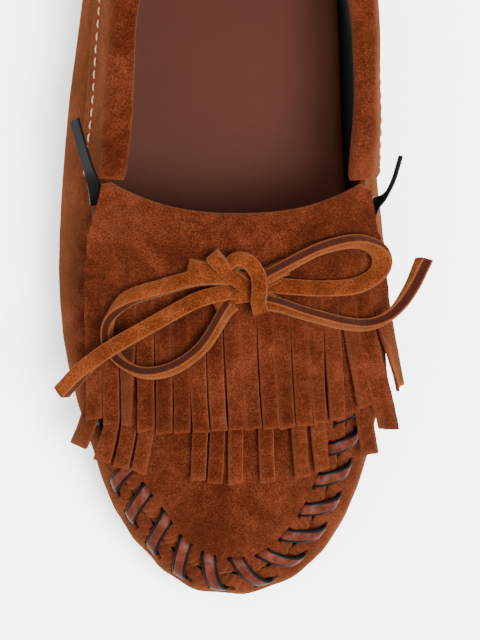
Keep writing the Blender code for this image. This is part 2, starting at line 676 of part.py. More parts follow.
flap(
    "kiltie_under",
    UNDER_LOW,
    UNDER_TOP,
    (-36.0, 40.0),
    (-37.0, 43.0),
    [
        (-42.0, -78.2), (-35.6, -82.4), (-30.8, -84.6), (-25.6, -85.8), (-19.8, -72.0), (-14.2, -71.0),
        (-9.0, -88.0), (-4.2, -88.8), (1.6, -89.0), (6.3, -73.0), (10.8, -88.6), (15.8, -72.5),
        (20.7, -87.2), (26.7, -85.2), (31.1, -70.5), (35.4, -69.0), (39.8, -80.6), (44.2, -68.0),
    ],
    0.75,
    SUEDE_FRINGE,
)
flap(
    "kiltie_upper",
    UPPER_LOW,
    UPPER_TOP,
    (-40.2, 41.2),
    (-41.2, 44.4),
    [
        (-37.9, -70.4), (-33.4, -71.6), (-28.4, -71.8), (-23.8, -73.8), (-18.7, -74.5), (-13.8, -74.4),
        (-8.3, -74.0), (-3.3, -73.6), (1.7, -73.3), (6.4, -73.2), (11.5, -73.1), (16.0, -73.0),
        (20.8, -72.2), (25.4, -71.6), (30.6, -70.6), (38.2, -66.6), (42.8, -73.0), (47.2, -61.6),
    ],
    0.15,
    SUEDE_FRINGE,
)

# Bow: a knot, two loops and two tails of one lace, lying on the upper flap
BOW_BASE = UPPER_TOP + mm(FIT_GAP) + 0.1


def smooth_path(points, count):
    """Evenly spaced points on a smooth open curve through points."""
    p = np.array(points, float)
    p = np.vstack([2 * p[0] - p[1], p, 2 * p[-1] - p[-2]])
    t = np.linspace(0, len(points) - 1 - 1e-6, 400)
    i = t.astype(int)
    f = (t - i)[:, None]
    a, b, c, d = p[i], p[i + 1], p[i + 2], p[i + 3]
    q = 0.5 * (2 * b + (c - a) * f + (2 * a - 5 * b + 4 * c - d) * f**2 + (3 * b - a - 3 * c + d) * f**3)
    run = np.concatenate([[0], np.cumsum(np.linalg.norm(np.diff(q[:, :2], axis=0), axis=1))])
    even = np.linspace(0, run[-1], count)
    return np.column_stack([np.interp(even, run, q[:, k]) for k in range(q.shape[1])])


def bow_piece(name, plan, count, origin):
    """A length of bow lace lying flat: plan rows are x, y and height above the upper flap."""
    rows = smooth_path(plan, count)
    along = unit(np.gradient(rows[:, :2], axis=0))
    side = np.column_stack([-along[:, 1], along[:, 0]]) * mm(BOW_WIDTH) / 2
    grids = []
    for extra in (mm(BOW_THICK), 0.0):
        columns = []
        for sign in (-1, 1):
            x = (rows[:, 0] + sign * side[:, 0]) * SCALE[0]
            y = (rows[:, 1] + sign * side[:, 1]) * SCALE[1]
            at = lay(np.clip(x, -45, 44), y, rows[:, 2] + BOW_BASE + extra)
            at[:, 0] = x
            columns.append(at)
        grids.append(np.stack(columns, axis=1))
    return slab(name, grids[0], grids[1], SUEDE_BOW, origin=origin)


kx, ky = KNOT_XY[0] / MM, KNOT_XY[1] / MM
hx, hy = mm(KNOT_SIZE[0]) / 2, mm(KNOT_SIZE[1]) / 2
clear = 0.5
LAT, MED = kx - hx - clear, kx + hx + clear
under_x = np.array([kx - hx, kx, kx + hx] * 3)
under_y = np.repeat([ky - hy, ky, ky + hy], 3)
knot_base = float(np.max(lay(under_x, under_y, BOW_BASE)[:, 2]))
pivot_z = knot_base + 1.0
LAT_PIVOT = (LAT * MM, KNOT_XY[1], pivot_z * MM)
MED_PIVOT = (MED * MM, KNOT_XY[1], pivot_z * MM)

knot_loops = []
for f, grow in ((0.0, 0.72), (0.25, 1.0), (0.7, 1.0), (1.0, 0.66)):
    ring_at = []
    for k in range(16):
        a = 2 * math.pi * k / 16
        c, s = math.cos(a), math.sin(a)
        x = kx + hx * grow * math.copysign(abs(c) ** 0.6, c)
        y = ky + hy * grow * math.copysign(abs(s) ** 0.6, s)
        ring_at.append((x, y, knot_base + f * mm(KNOT_SIZE[2])))
    knot_loops.append(ring_at)
knot = prism("bow_knot", knot_loops, SUEDE_BOW)

bow_piece(
    "bow_loop_lateral",
    [
        (LAT, -28.4, 0.4), (-10.5, -30.8, 0.0), (-21.0, -33.6, 0.0), (-29.5, -36.5, 0.0), (-34.4, -42.0, 0.0),
        (-35.0, -48.5, 0.0), (-31.0, -54.5, 0.0), (-24.5, -57.5, 0.0), (-16.5, -56.0, 0.0),
        (-8.5, -50.0, 0.0), (LAT, -40.6, 0.4),
    ],
    34,
    LAT_PIVOT,
)
bow_piece(
    "bow_tail_lateral",
    [
        (LAT, -34.4, 0.6), (-9.5, -37.0, 0.4), (-18.0, -41.0, 1.0), (-26.0, -45.6, 2.2), (-34.5, -50.6, 2.4),
        (-41.0, -55.5, 1.8), (-48.0, -62.5, 0.6),
    ],
    20,
    LAT_PIVOT,
)
bow_piece(
    "bow_loop_medial",
    [
        (MED, -28.4, 0.4), (17.0, -26.0, 0.0), (24.0, -22.6, 0.0), (31.5, -20.6, 0.0), (37.0, -20.4, 0.4),
        (41.2, -22.6, 0.6), (42.6, -26.5, 0.8), (40.0, -30.5, 0.4), (34.0, -33.2, 0.0), (25.5, -34.2, 0.0),
        (17.0, -34.2, 0.0), (MED, -34.0, 0.4),
    ],
    34,
    MED_PIVOT,
)
bow_piece(
    "bow_tail_medial",
    [
        (MED, -39.8, 0.4), (19.5, -40.6, 0.0), (31.5, -42.6, 0.0), (40.0, -42.4, 0.6), (46.5, -38.0, 1.4),
        (50.5, -32.5, 2.2), (53.5, -26.5, 2.6),
    ],
    22,
    MED_PIVOT,
)
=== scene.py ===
"""Looks of a fringed suede moccasin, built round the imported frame.

Shapes are in millimetres while they are worked out, and in metres once they are meshes.
The pieces come in the order in which such a shoe is put together.
"""

import math

import bpy
import bmesh
import numpy as np
from mathutils import Matrix, Vector
from mathutils.bvhtree import BVHTree


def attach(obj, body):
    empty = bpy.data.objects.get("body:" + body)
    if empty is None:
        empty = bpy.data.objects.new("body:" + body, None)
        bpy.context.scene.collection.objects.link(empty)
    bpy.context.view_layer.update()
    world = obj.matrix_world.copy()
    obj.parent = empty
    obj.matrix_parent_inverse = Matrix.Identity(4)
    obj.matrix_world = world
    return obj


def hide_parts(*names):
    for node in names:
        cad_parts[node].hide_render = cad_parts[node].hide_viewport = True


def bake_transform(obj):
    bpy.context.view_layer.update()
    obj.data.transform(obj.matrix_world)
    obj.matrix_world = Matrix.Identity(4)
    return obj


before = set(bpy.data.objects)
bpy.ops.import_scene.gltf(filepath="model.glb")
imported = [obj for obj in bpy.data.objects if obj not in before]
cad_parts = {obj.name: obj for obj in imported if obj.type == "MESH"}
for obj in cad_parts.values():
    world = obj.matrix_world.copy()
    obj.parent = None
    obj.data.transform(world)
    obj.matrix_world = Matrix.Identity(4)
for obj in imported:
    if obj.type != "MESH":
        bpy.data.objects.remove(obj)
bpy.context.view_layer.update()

# Outsole
# A thin moulded rubber sole under the wrap, in its CAD shape.
# Rubber is matt and dark brown, with a slight mould grain.


def unit(v):
    """Vectors at unit length."""
    return v / np.maximum(np.linalg.norm(v, axis=-1, keepdims=True), 1e-9)


def node(tree, kind, values=None, **settings):
    """A shader node with its settings and its input values or links."""
    made = tree.nodes.new(kind)
    for key, value in settings.items():
        setattr(made, key, value)
    for key, value in (values or {}).items():
        if isinstance(value, bpy.types.NodeSocket):
            tree.links.new(value, made.inputs[key])
        else:
            made.inputs[key].default_value = value
    return made


def principled(name, roughness, specular=0.5, sheen=0.0, sheen_tint=(1.0, 1.0, 1.0)):
    """A material, its node tree and its Principled node."""
    made = bpy.data.materials.new(name)
    made.use_nodes = True
    shader = made.node_tree.nodes["Principled BSDF"]
    for key, value in (
        ("Roughness", roughness), ("Specular IOR Level", specular), ("Sheen Weight", sheen),
        ("Sheen Roughness", 0.5), ("Sheen Tint", (*sheen_tint, 1.0)),
    ):
        shader.inputs[key].default_value = value
    return made, made.node_tree, shader


def noise(tree, scale, detail=3.0, rough=0.55, distortion=0.0):
    """Value noise over the object, in features of about 1 / scale metres."""
    where = node(tree, "ShaderNodeTexCoord").outputs["Object"]
    values = {"Vector": where, "Scale": scale, "Detail": detail, "Roughness": rough, "Distortion": distortion}
    return node(tree, "ShaderNodeTexNoise", values).outputs["Fac"]


def maths(tree, what, a, b):
    """One arithmetic node."""
    return node(tree, "ShaderNodeMath", {0: a, 1: b}, operation=what).outputs[0]


def weighted(tree, *parts):
    """Sum of (value, weight) pairs."""
    total = 0.0
    for value, weight in parts:
        total = maths(tree, "ADD", total, maths(tree, "MULTIPLY", value, weight))
    return total


def ramp(tree, value, stops):
    """Colours along a value."""
    made = node(tree, "ShaderNodeValToRGB", {"Fac": value})
    line = made.color_ramp.elements
    while len(line) < len(stops):
        line.new(0.5)
    for element, (at, color) in zip(line, stops):
        element.position = at
        element.color = (*color, 1.0)
    return made.outputs["Color"]


def blend_color(tree, share, a, b):
    """Mix of two colours by a share."""
    a, b = (v if isinstance(v, bpy.types.NodeSocket) else (*v, 1.0) for v in (a, b))
    return node(tree, "ShaderNodeMix", {0: share, 6: a, 7: b}, data_type="RGBA").outputs[2]


def marked(tree, name):
    """A mark that the mesh's points carry."""
    return node(tree, "ShaderNodeAttribute", attribute_name=name).outputs["Fac"]


def coat(tree, shader, color, layers):
    """Colour, and surface relief from (height, strength, distance) layers, one on another."""
    tree.links.new(color, shader.inputs["Base Color"])
    last = None
    for height, strength, distance in layers:
        values = {"Height": height, "Strength": strength, "Distance": distance}
        if last is not None:
            values["Normal"] = last
        last = node(tree, "ShaderNodeBump", values).outputs["Normal"]
    tree.links.new(last, shader.inputs["Normal"])


def paint(node_name, material):
    """Gives a CAD node's object a material in each of its slots."""
    obj = bpy.data.objects[node_name]
    for place in obj.material_slots:
        place.material = material


rubber, tree, shader = principled("outsole rubber", 0.75, 0.35)
color = ramp(tree, noise(tree, 900, 4), [(0.35, (0.030, 0.017, 0.011)), (0.7, (0.050, 0.029, 0.019))])
coat(tree, shader, color, [(noise(tree, 2600, 3), 0.2, 0.0002)])
paint("outsole", rubber)

# Insole board and pad
# Fibre board and soft foam, hidden between the wrap and the sock lining.
# They keep their CAD shape.
for name, color in (("insole_board", (0.42, 0.33, 0.22)), ("insole_pad", (0.70, 0.66, 0.55))):
    filler, tree, shader = principled(name + " filler", 0.9, 0.2)
    tone = ramp(tree, noise(tree, 700, 4), [(0.3, [c * 0.8 for c in color]), (0.7, color)])
    tree.links.new(tone, shader.inputs["Base Color"])
    paint(name, filler)

# Sock lining
# The smooth brown leather under the foot, glued over the pad and cupped a little at its edge.
# It is dull, with a faint grain and slightly darker where it has been rubbed.
# Stations round the shoe from the toe tip, up the lateral side, round the heel and back. Each gives the
# wrap's widest line (x, y), its top edge (x, y, z) and how far in from the widest line the sole's edge is.
STATIONS = np.array(
    [
        (1.5, -122.0, 0.8, -116.2, 23.0, 5.0), (-10.9, -119.7, -8.1, -114.5, 23.2, 5.2),
        (-20.0, -113.0, -16.0, -109.0, 24.0, 5.6), (-28.3, -103.5, -22.4, -100.5, 25.0, 6.0),
        (-34.3, -92.5, -28.6, -91.0, 26.5, 6.4), (-38.8, -79.5, -32.7, -79.0, 28.5, 6.8),
        (-43.4, -65.7, -36.0, -65.7, 31.0, 7.2), (-47.0, -50.0, -38.0, -50.0, 34.0, 7.6),
        (-48.5, -33.0, -38.5, -33.0, 37.5, 8.0), (-48.4, -17.0, -37.8, -17.0, 42.0, 8.6),
        (-47.6, -1.0, -35.6, -3.0, 48.0, 9.4), (-45.8, 18.0, -34.0, 16.0, 50.0, 10.0),
        (-43.2, 37.0, -33.0, 36.0, 50.0, 9.6), (-41.0, 56.0, -31.8, 55.0, 50.5, 8.6),
        (-38.8, 75.0, -30.4, 74.0, 52.0, 7.4), (-35.4, 93.0, -28.8, 91.0, 55.0, 6.4),
        (-28.4, 109.0, -22.6, 105.0, 58.5, 5.6), (-16.0, 120.0, -12.6, 114.5, 61.5, 5.2),
        (0.5, 124.5, 0.4, 118.5, 62.0, 5.0), (16.6, 120.0, 13.0, 114.5, 61.5, 5.2),
        (28.6, 109.0, 23.4, 105.0, 58.5, 5.6), (35.2, 93.0, 30.4, 91.0, 55.0, 6.6),
        (37.6, 75.0, 34.8, 74.0, 52.5, 6.6), (39.4, 56.0, 37.8, 55.0, 51.0, 7.6),
        (41.4, 37.0, 39.2, 36.0, 50.5, 8.8), (43.0, 18.0, 39.4, 16.0, 50.5, 9.8),
        (44.0, -1.0, 38.0, -3.0, 48.0, 9.8), (45.6, -17.0, 39.2, -17.0, 42.5, 9.6),
        (47.0, -33.0, 39.0, -33.0, 37.5, 8.8), (46.4, -50.0, 37.5, -50.0, 34.0, 7.8),
        (44.8, -65.7, 35.5, -65.7, 31.0, 7.2), (42.0, -79.5, 33.0, -79.0, 28.5, 6.8),
        (38.0, -92.5, 29.2, -91.0, 26.5, 6.4), (32.8, -103.5, 24.0, -102.0, 25.0, 6.0),
        (25.2, -113.0, 17.0, -110.5, 24.0, 5.6), (14.4, -119.7, 9.2, -115.2, 23.2, 5.2),
    ]
)
THROAT, HEEL, TURN = 10.0, 18.0, 36
BULGE_Z, SOLE_Z, SUEDE = 17.0, 4.8, 1.5


def spline(a, b, c, d, f):
    """Points between b and c on Catmull-Rom curves."""
    return 0.5 * (2 * b + (c - a) * f + (2 * a - 5 * b + 4 * c - d) * f**2 + (3 * b - a - 3 * c + d) * f**3)


def curve(t):
    """All six station values at station numbers t, on a closed smooth curve."""
    t = np.atleast_1d(np.asarray(t, float))
    i = np.floor(t).astype(int)
    f = (t - i)[:, None]
    return spline(*(STATIONS[(i + k) % TURN] for k in (-1, 0, 1, 2)), f)


def outline(t):
    """The wrap's widest line."""
    flat = curve(t)[:, :2]
    return np.column_stack([flat, np.full(len(flat), BULGE_Z)])


def rim(t):
    """The wrap's top edge: the toe seam in front, the topline behind."""
    return curve(t)[:, 2:5]


def outward(t):
    """Level directions pointing out of the shoe."""
    along = outline(np.asarray(t) + 0.05) - outline(np.asarray(t) - 0.05)
    return unit(np.column_stack([-along[:, 1], along[:, 0], np.zeros(len(along))]))


def sole_edge(t, grow=0.0, z=SOLE_Z):
    """The edge of the wrap's flat bottom, grown outward."""
    edge = outline(t) + outward(t) * (grow - curve(t)[:, 5])[:, None]
    edge[:, 2] = z
    return edge


def build(name, verts, faces, material, marks=None, sharp=50.0):
    """An object from points in millimetres, smooth except at sharp turns, with marks for its material."""
    verts = np.asarray(verts, float)
    faces = [tuple(int(i) for i in f) for f in faces]
    used = np.zeros(len(verts), bool)
    for f in faces:
        used[list(f)] = True
    new = np.cumsum(used) - 1
    mesh = bpy.data.meshes.new(name)
    mesh.from_pydata((verts[used] * 0.001).tolist(), [], [tuple(new[i] for i in f) for f in faces])
    bm = bmesh.new()
    bm.from_mesh(mesh)
    bmesh.ops.recalc_face_normals(bm, faces=bm.faces)
    bm.to_mesh(mesh)
    bm.free()
    for key, values in (marks or {}).items():
        layer = mesh.attributes.new(key, "FLOAT", "POINT")
        layer.data.foreach_set("value", np.asarray(values, np.float32).reshape(-1)[used])
    mesh.polygons.foreach_set("use_smooth", np.ones(len(mesh.polygons), bool))
    mesh.set_sharp_from_angle(angle=math.radians(sharp))
    mesh.materials.append(material)
    obj = bpy.data.objects.new(name, mesh)
    bpy.context.collection.objects.link(obj)
    return obj


def slab(name, outer, inner, material, keep=None, ring=False, marks=None):
    """A closed sheet between two grids (columns, rows, xyz). keep marks the cells that are material, and
    ring joins the last column to the first and closes the first row with flat polygons."""
    nu, nv = outer.shape[:2]
    cu, cv = (nu if ring else nu - 1), nv - 1
    keep = np.ones((cu, cv), bool) if keep is None else keep
    index = np.arange(nu * nv).reshape(nu, nv)
    if ring:
        index = np.vstack([index, index[:1]])
    a, b, c, d = index[:-1, :-1], index[1:, :-1], index[1:, 1:], index[:-1, 1:]
    low = nu * nv
    faces = [np.stack([a, b, c, d], -1)[keep], np.stack([d, c, b, a], -1)[keep] + low]
    around = np.zeros((cu + 2, cv + 2), bool)
    around[1:-1, 1:-1] = keep
    if ring:
        around[0, 1:-1], around[-1, 1:-1] = keep[-1], keep[0]
        around[:, 0] = True
    sides = ((a, b, around[1:-1, :-2]), (b, c, around[2:, 1:-1]))
    sides += ((c, d, around[1:-1, 2:]), (d, a, around[:-2, 1:-1]))
    for p, q, beside in sides:
        bare = keep & ~beside
        faces.append(np.stack([q, p, p + low, q + low], -1)[bare])
    faces = [tuple(f) for f in np.concatenate(faces)]
    if ring:
        faces += [tuple(index[:nu, 0]), tuple(index[:nu, 0][::-1] + low)]
    verts = np.concatenate([outer.reshape(-1, 3), inner.reshape(-1, 3)])
    flat = {key: np.concatenate([v.reshape(-1) for v in pair]) for key, pair in (marks or {}).items()}
    return build(name, verts, faces, material, flat)


leather, tree, shader = principled("sock leather", 0.60, 0.06)
grain = noise(tree, 3200, 4, 0.6)
broad = noise(tree, 38, 3, 0.5)
tone = weighted(tree, (broad, 0.7), (grain, 0.3))
color = ramp(tree, tone, [(0.3, (0.0215, 0.0042, 0.0013)), (0.7, (0.0280, 0.0057, 0.0019))])
coat(tree, shader, color, [(grain, 0.12, 0.0002), (noise(tree, 120, 3), 0.15, 0.0008)])
around = np.linspace(0, TURN, 240, endpoint=False)
count = len(around)
cupped = [(0.4, 11.4), (0.9, 12.2), (0.8, 13.4), (-0.4, 13.9), (-2.4, 13.5), (-5.5, 12.8), (-10.0, 12.5)]
loops = [sole_edge(around, grow, z) for grow, z in cupped]
flat_loop = loops[-1]
middle = np.column_stack([np.ones(count), flat_loop[:, 1] * 0.82, np.full(count, 12.45)])
for share in (0.35, 0.7):
    loops.append(flat_loop * (1 - share) + middle * share)
verts = np.concatenate(loops)
faces = []
i = np.arange(count)
j = (i + 1) % count
for k in range(len(loops) - 1):
    faces += np.stack([k * count + i, k * count + j, (k + 1) * count + j, (k + 1) * count + i], -1).tolist()
faces += [list(range(count)), list(range((len(loops) - 1) * count, len(loops) * count))]
sock = build("sock_lining_leather", verts, faces, leather)
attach(sock, "shoe")
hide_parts("sock_lining")

# Wrap
# One piece of suede: the shoe's bottom, its side walls and the turned-up toe.
# Its front edge is gathered on to the plug, so it puckers between the stitches of the whip lace.


def suede(name, deep, body, bright, back=None):
    """Napped leather. A broad brushed pattern, soft patches and a fine fibre grain mix three colours;
    the mark "cut" shows bright fuzz along cut edges, "back" shows the reverse of the hide, and the
    crease mark paints shade into the valleys of creases."""
    made, tree, shader = principled(name, 0.95, 0.0, 0.10, (1.0, 0.42, 0.18))
    fibre = noise(tree, 2300, 3, 0.75)
    brushed = noise(tree, 55, 3, 0.6, distortion=0.6)
    patch = noise(tree, 260, 3, 0.6)
    tone = weighted(tree, (fibre, 0.56), (brushed, 0.30), (patch, 0.14))
    color = ramp(tree, tone, [(0.41, deep), (0.5, body), (0.60, bright)])
    if back:
        rear = ramp(tree, fibre, [(0.35, [c * 0.6 for c in back]), (0.65, [c * 1.35 for c in back])])
        color = blend_color(tree, marked(tree, "back"), color, rear)
    fuzz = maths(tree, "MULTIPLY", marked(tree, "cut"), maths(tree, "ADD", 0.35, fibre))
    color = blend_color(tree, fuzz, color, [c * 1.25 for c in bright])
    # Painted shade: the crease mark darkens the valleys of the creases.
    color = blend_color(tree, marked(tree, "crease_shade"), color, [c * 0.35 for c in deep])
    coat(tree, shader, color, [(patch, 0.35, 0.0009), (fibre, 0.55, 0.0005)])
    return made


DEEP, BODY, BRIGHT = (0.0112, 0.0019, 0.0008), (0.0250, 0.0046, 0.0019), (0.0550, 0.0126, 0.0054)
hide = suede("suede", DEEP, BODY, BRIGHT)


def lumps(x, y, seed, size):
    """Smooth random relief from -1 to 1 with features of about size, from a few sine waves."""
    draw = np.random.default_rng(seed)
    total = np.zeros(np.broadcast(x, y).shape)
    for _ in range(7):
        angle, phase = draw.uniform(0, math.tau), draw.uniform(0, math.tau)
        wave = size * draw.uniform(0.7, 1.8)
        total += np.sin((x * math.cos(angle) + y * math.sin(angle)) * math.tau / wave + phase)
    return total / 3.5


def eased(share):
    """A share from 0 to 1, eased in and out."""
    return share * share * (3 - 2 * share)


def run_along(points):
    """Distances along a line of points."""
    return np.concatenate([[0], np.cumsum(np.linalg.norm(np.diff(points, axis=0), axis=1))])


def sample(where, run, values):
    """Rows of values at distances along a line."""
    return np.column_stack([np.interp(where, run, values[:, k]) for k in range(values.shape[1])])


def fade(distance, width):
    """Falls from 1 at no distance to almost 0 at two widths."""
    return np.exp(-((distance / width) ** 2))


def reach_scale(t):
    """How far the stitches reach from the seam: fully at the toe, less far up each side."""
    along = (np.asarray(t, float) + HEEL) % TURN - HEEL
    medial = np.clip((-along - 1.0) / 7.0, 0, 1)
    lateral = np.clip((along - 3.0) / 3.0, 0, 1)
    return 1.0 - 0.30 * eased(medial) - 0.45 * eased(lateral)


def wall(t, from_rim, fraction=(), seam=False):
    """Points on the wall's outer face and their normals. The profile leaves the sole's edge level, stands
    upright at the widest line and leans in to the rim; fraction gives places along its lower part and
    from_rim gives distances below its top edge, which follow the stitches' reach beside the seam."""
    t = np.asarray(t, float)
    scale = reach_scale(t) if seam else np.ones(len(t))

    def faces_at(t):
        """Dense profiles at stations t."""
        low, wide, top = sole_edge(t), outline(t), rim(t)
        s = np.linspace(0, 1, 60)[None, :, None]
        up = np.array([0, 0, 1.0])
        flat = np.array([1.0, 1.0, 0.0])

        def bezier(*q):
            """Cubic curves through four control points."""
            a, b, c, d = (p[:, None, :] for p in q)
            return (1 - s) ** 3 * a + 3 * s * (1 - s) ** 2 * b + 3 * s**2 * (1 - s) * c + s**3 * d

        drop = (wide[:, 2:] - low[:, 2:]) * 0.55 * up
        lower = bezier(low, low + (wide - low) * 0.6 * flat, wide - drop, wide)
        rise = (top[:, 2:] - wide[:, 2:]) * up
        lean = (wide - top) * flat
        front = np.clip((THROAT + 1.0 - np.abs((t + HEEL) % TURN - HEEL)) / 4.0, 0, 1)[:, None]
        third = top + lean * (0.35 + 0.15 * front) - rise * (0.35 - 0.25 * front)
        upper = bezier(wide, wide + rise * (0.45 + 0.15 * front), third, top)
        return np.concatenate([lower[:, :-1], upper], axis=1)

    points = faces_at(t)
    along = faces_at(t + 0.02) - faces_at(t - 0.02)
    normals = unit(np.cross(np.gradient(points, axis=1), along))
    normals *= np.sign(np.sum(normals[:, 50] * outward(t), axis=1))[:, None, None]
    rows, facings = [], []
    for line, square, near in zip(points, normals, scale):
        run = run_along(line)
        lower_part = run[-1] - max(from_rim) * near
        where = [f * lower_part for f in fraction] + [run[-1] - d * near for d in from_rim]
        rows.append(sample(where, run, line))
        facings.append(sample(where, run, square))
    return np.array(rows), unit(np.array(facings))


# The stitches of the toe seam are counted along it from its medial end.
dense = np.linspace(-THROAT, THROAT, 1601)
seam = rim(dense)
seam_run = run_along(seam)
PITCH, SLANT, SLOT_HALF = 10.0, 3.0, 3.0
SLOT_FAR = 5.2  # a slot's far edge, from the seam
SLOT_COLUMNS, GAP_COLUMNS = 16, 15
stitches = int((seam_run[-1] - 14.0) / PITCH) + 1
middles = (seam_run[-1] - (stitches - 1) * PITCH) / 2 + PITCH * np.arange(stitches)


def station(run):
    """Station number at a distance along the toe seam."""
    return np.interp(run, seam_run, dense)


def slotted(mids):
    """Distances along the seam with columns on both ends of every slot, and the slots' column ranges."""
    runs, ranges = [], []
    for k, mid in enumerate(mids):
        ranges.append((len(runs), len(runs) + SLOT_COLUMNS))
        runs += list(np.linspace(mid - SLOT_HALF, mid + SLOT_HALF, SLOT_COLUMNS + 1))
        if k < len(mids) - 1:
            runs += list(np.linspace(mid + SLOT_HALF, mids[k + 1] - SLOT_HALF, GAP_COLUMNS + 1)[1:-1])
    return np.array(runs), ranges


def gather(run, mids):
    """1 at each stitch's slot and -1 halfway between two of them."""
    return np.cos(math.tau * (run - mids[0]) / PITCH)


def rope(run, depth, seed):
    """Height of the fine slanting creases that gathering leaves beside a whipped seam, and the painted shade
    that darkens their valleys.
    """
    wander = lumps(run, depth * 0.6, seed, 15.0)
    wave = np.abs(np.sin(run * math.pi / 2.3 + 1.5 * wander))
    return 0.75 * wave - 0.45, np.clip(0.30 - wave, 0, 1) * 2.2 * (0.5 + 0.5 * wander)


outer_mid, inner_mid = middles - SLANT, middles + SLANT
runs, ranges = slotted(outer_mid)
front_t = station(runs)
back_t = np.linspace(THROAT + 0.02, TURN - THROAT - 0.02, 190)
wrap_t = np.concatenate([front_t, back_t])
wrap_run = np.concatenate([runs, np.full(len(back_t), -1.0)])
drops = [12.0, 10.5, 9.0, 7.6, 6.4, 5.2, 3.8, 3.3, 2.8, 2.3, 1.8, 1.4, 1.0, 0.6, 0.3, 0.0]
low_rows = 26
points, normals = wall(wrap_t, drops, np.linspace(0, 0.97, low_rows) ** 1.15, True)
normals[:, 0] = (0, 0, -1)
below = np.concatenate([np.full(low_rows, 14.0), drops])[None, :]
in_front = (wrap_run >= 0)[:, None] * 1.0
ends = np.minimum(wrap_run, seam_run[-1] - wrap_run)[:, None]
in_front = in_front * np.clip(ends / 12.0, 0, 1)
fold = gather(wrap_run, outer_mid)[:, None]
relief = -1.0 * fold * fade(below, 8.0) * in_front
pleat, crease_shade = rope(wrap_run[:, None] - 0.55 * below, below, 3)
relief += pleat * fade(below, 5.4) * in_front
relief -= 0.5 * fade(below, 0.5) * in_front
wide_relief = lumps(points[..., 1] + points[..., 0] * 0.6, points[..., 2] * 1.6, 11, 34.0)
height_fade = np.clip((points[..., 2] - SOLE_Z) / 9.0, 0, 1)
relief += 0.33 * wide_relief * height_fade * np.where(in_front > 0, 1.0, np.clip(below / 12.0, 0, 1))
points = points + normals * relief[..., None]
# Painted shade in the crease valleys, fading away from the seam.
crease_shade = crease_shade * fade(below, 5.0) * in_front
rest_of = np.ones((len(wrap_t), points.shape[1] - 1), bool)
slot_row = low_rows + drops.index(SLOT_FAR)
for a, b in ranges:
    rest_of[a:b, slot_row] = False
cut = 0.30 * fade(below, 4.5) * in_front
cut[:, -1] = 0.6
wrap = slab(
    "wrap_suede", points, points - normals * SUEDE, hide, rest_of, ring=True,
    marks={"cut": (cut, 0 * cut), "crease_shade": (crease_shade, 0 * cut)},
)
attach(wrap, "shoe")
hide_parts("wrap")

# Plug
# The suede over the toes, crowned, with its edge whipped to the wrap's gathered edge.
# It carries the inner row of slots.
left, right = seam[dense >= 0], seam[dense <= 0][::-1]


def seam_at(y):
    """The two seam edges at y: x and z on the lateral side, then on the medial side."""
    return [[np.interp(y, side[:, 1], side[:, k]) for k in (0, 2)] for side in (left, right)]


def crown(x, y):
    """Height of the plug: rising fast behind the toe and then steadily, and arched from side to side."""
    x, y = np.asarray(x, float), np.asarray(y, float)
    behind = np.maximum(y - seam[:, 1].min(), 0.0)
    lat, med = seam_at(y)
    half = np.maximum((med[0] - lat[0]) / 2, 1.0)
    u = np.clip((x - (lat[0] + med[0]) / 2) / half, -1, 1)
    between = (lat[1] + med[1]) / 2
    top = np.maximum(rim([0.0])[0, 2] + 5.5 * (1 - np.exp(-behind / 8.0)) + 0.262 * behind, between)
    edge = lat[1] + (med[1] - lat[1]) * (u + 1) / 2
    return edge + (top - between) * (1 - np.abs(u) ** 2.2)


def facing(surface, x, y, step=0.4):
    """Upward unit normals of a height surface."""
    gx = (surface(x + step, y) - surface(x - step, y)) / (2 * step)
    gy = (surface(x, y + step) - surface(x, y - step)) / (2 * step)
    return unit(np.stack([-gx, -gy, np.ones_like(gx)], axis=-1))


def inward(t):
    """Level directions from the seam towards the middle of the plug."""
    along = unit((rim(t + 0.03) - rim(t - 0.03)) * [1, 1, 0])
    side = np.column_stack([-along[:, 1], along[:, 0], np.zeros(len(along))])
    return side * np.sign(np.sum(side * (CENTRE - rim(t)), axis=1))[:, None]


CENTRE = np.array([1.0, -58.0, 0.0])
PLUG_END = -4.0  # y where the seam ends at the throat
runs, ranges = slotted(inner_mid)
runs = np.clip(runs, 0.4, seam_run[-1] - 0.4)
plug_t = station(runs)
edge_line, into, narrow = rim(plug_t), inward(plug_t), reach_scale(plug_t)[:, None]
first, last = edge_line[-1] + into[-1], edge_line[0] + into[0]
share = np.linspace(0, 1, 62)[1:-1]
throat = np.zeros((len(share), 3))
throat[:, 0] = first[0] + (last[0] - first[0]) * share
(lat_x, _), (med_x, _) = seam_at(PLUG_END)
from_middle = np.abs(throat[:, 0] - (lat_x + med_x) / 2) / ((med_x - lat_x) / 2)
throat[:, 1] = -15.2 + 8.4 * from_middle**3
depths = [0.15, 0.5, 0.9, 1.4, 1.9, 2.4, 2.9, 3.3, 3.8, 5.2, 6.4, 8.0, 10.0]
rings = [
    np.concatenate([edge_line + into * (d * narrow), throat - np.array([0, 1.0, 0]) * (d - 0.15)])
    for d in depths
]
shrinks = [0.84, 0.7, 0.57, 0.45, 0.34, 0.24, 0.15, 0.08, 0.03]
rings += [CENTRE + (rings[-1] - CENTRE) * shrink for shrink in shrinks]
grid = np.stack(rings, axis=1)[:, ::-1]
grid[..., 2] = crown(grid[..., 0], grid[..., 1])
normals = facing(crown, grid[..., 0], grid[..., 1])
along_seam = np.concatenate([runs, np.full(len(throat), -1.0)])[:, None]
from_edge = np.array(depths + [14.0] * len(shrinks))[::-1][None, :]
on_seam = (along_seam >= 0) * 1.0
relief = -0.7 * gather(along_seam, inner_mid) * fade(from_edge, 5.0) * on_seam
pleat, crease_shade = rope(along_seam + 0.55 * from_edge, from_edge, 5)
relief += 0.8 * pleat * fade(from_edge, 4.2) * on_seam
relief += 0.28 * lumps(grid[..., 0], grid[..., 1], 23, 26.0) * np.clip(from_edge / 10.0, 0, 1)
relief -= 0.5 * fade(from_edge, 0.5) * on_seam
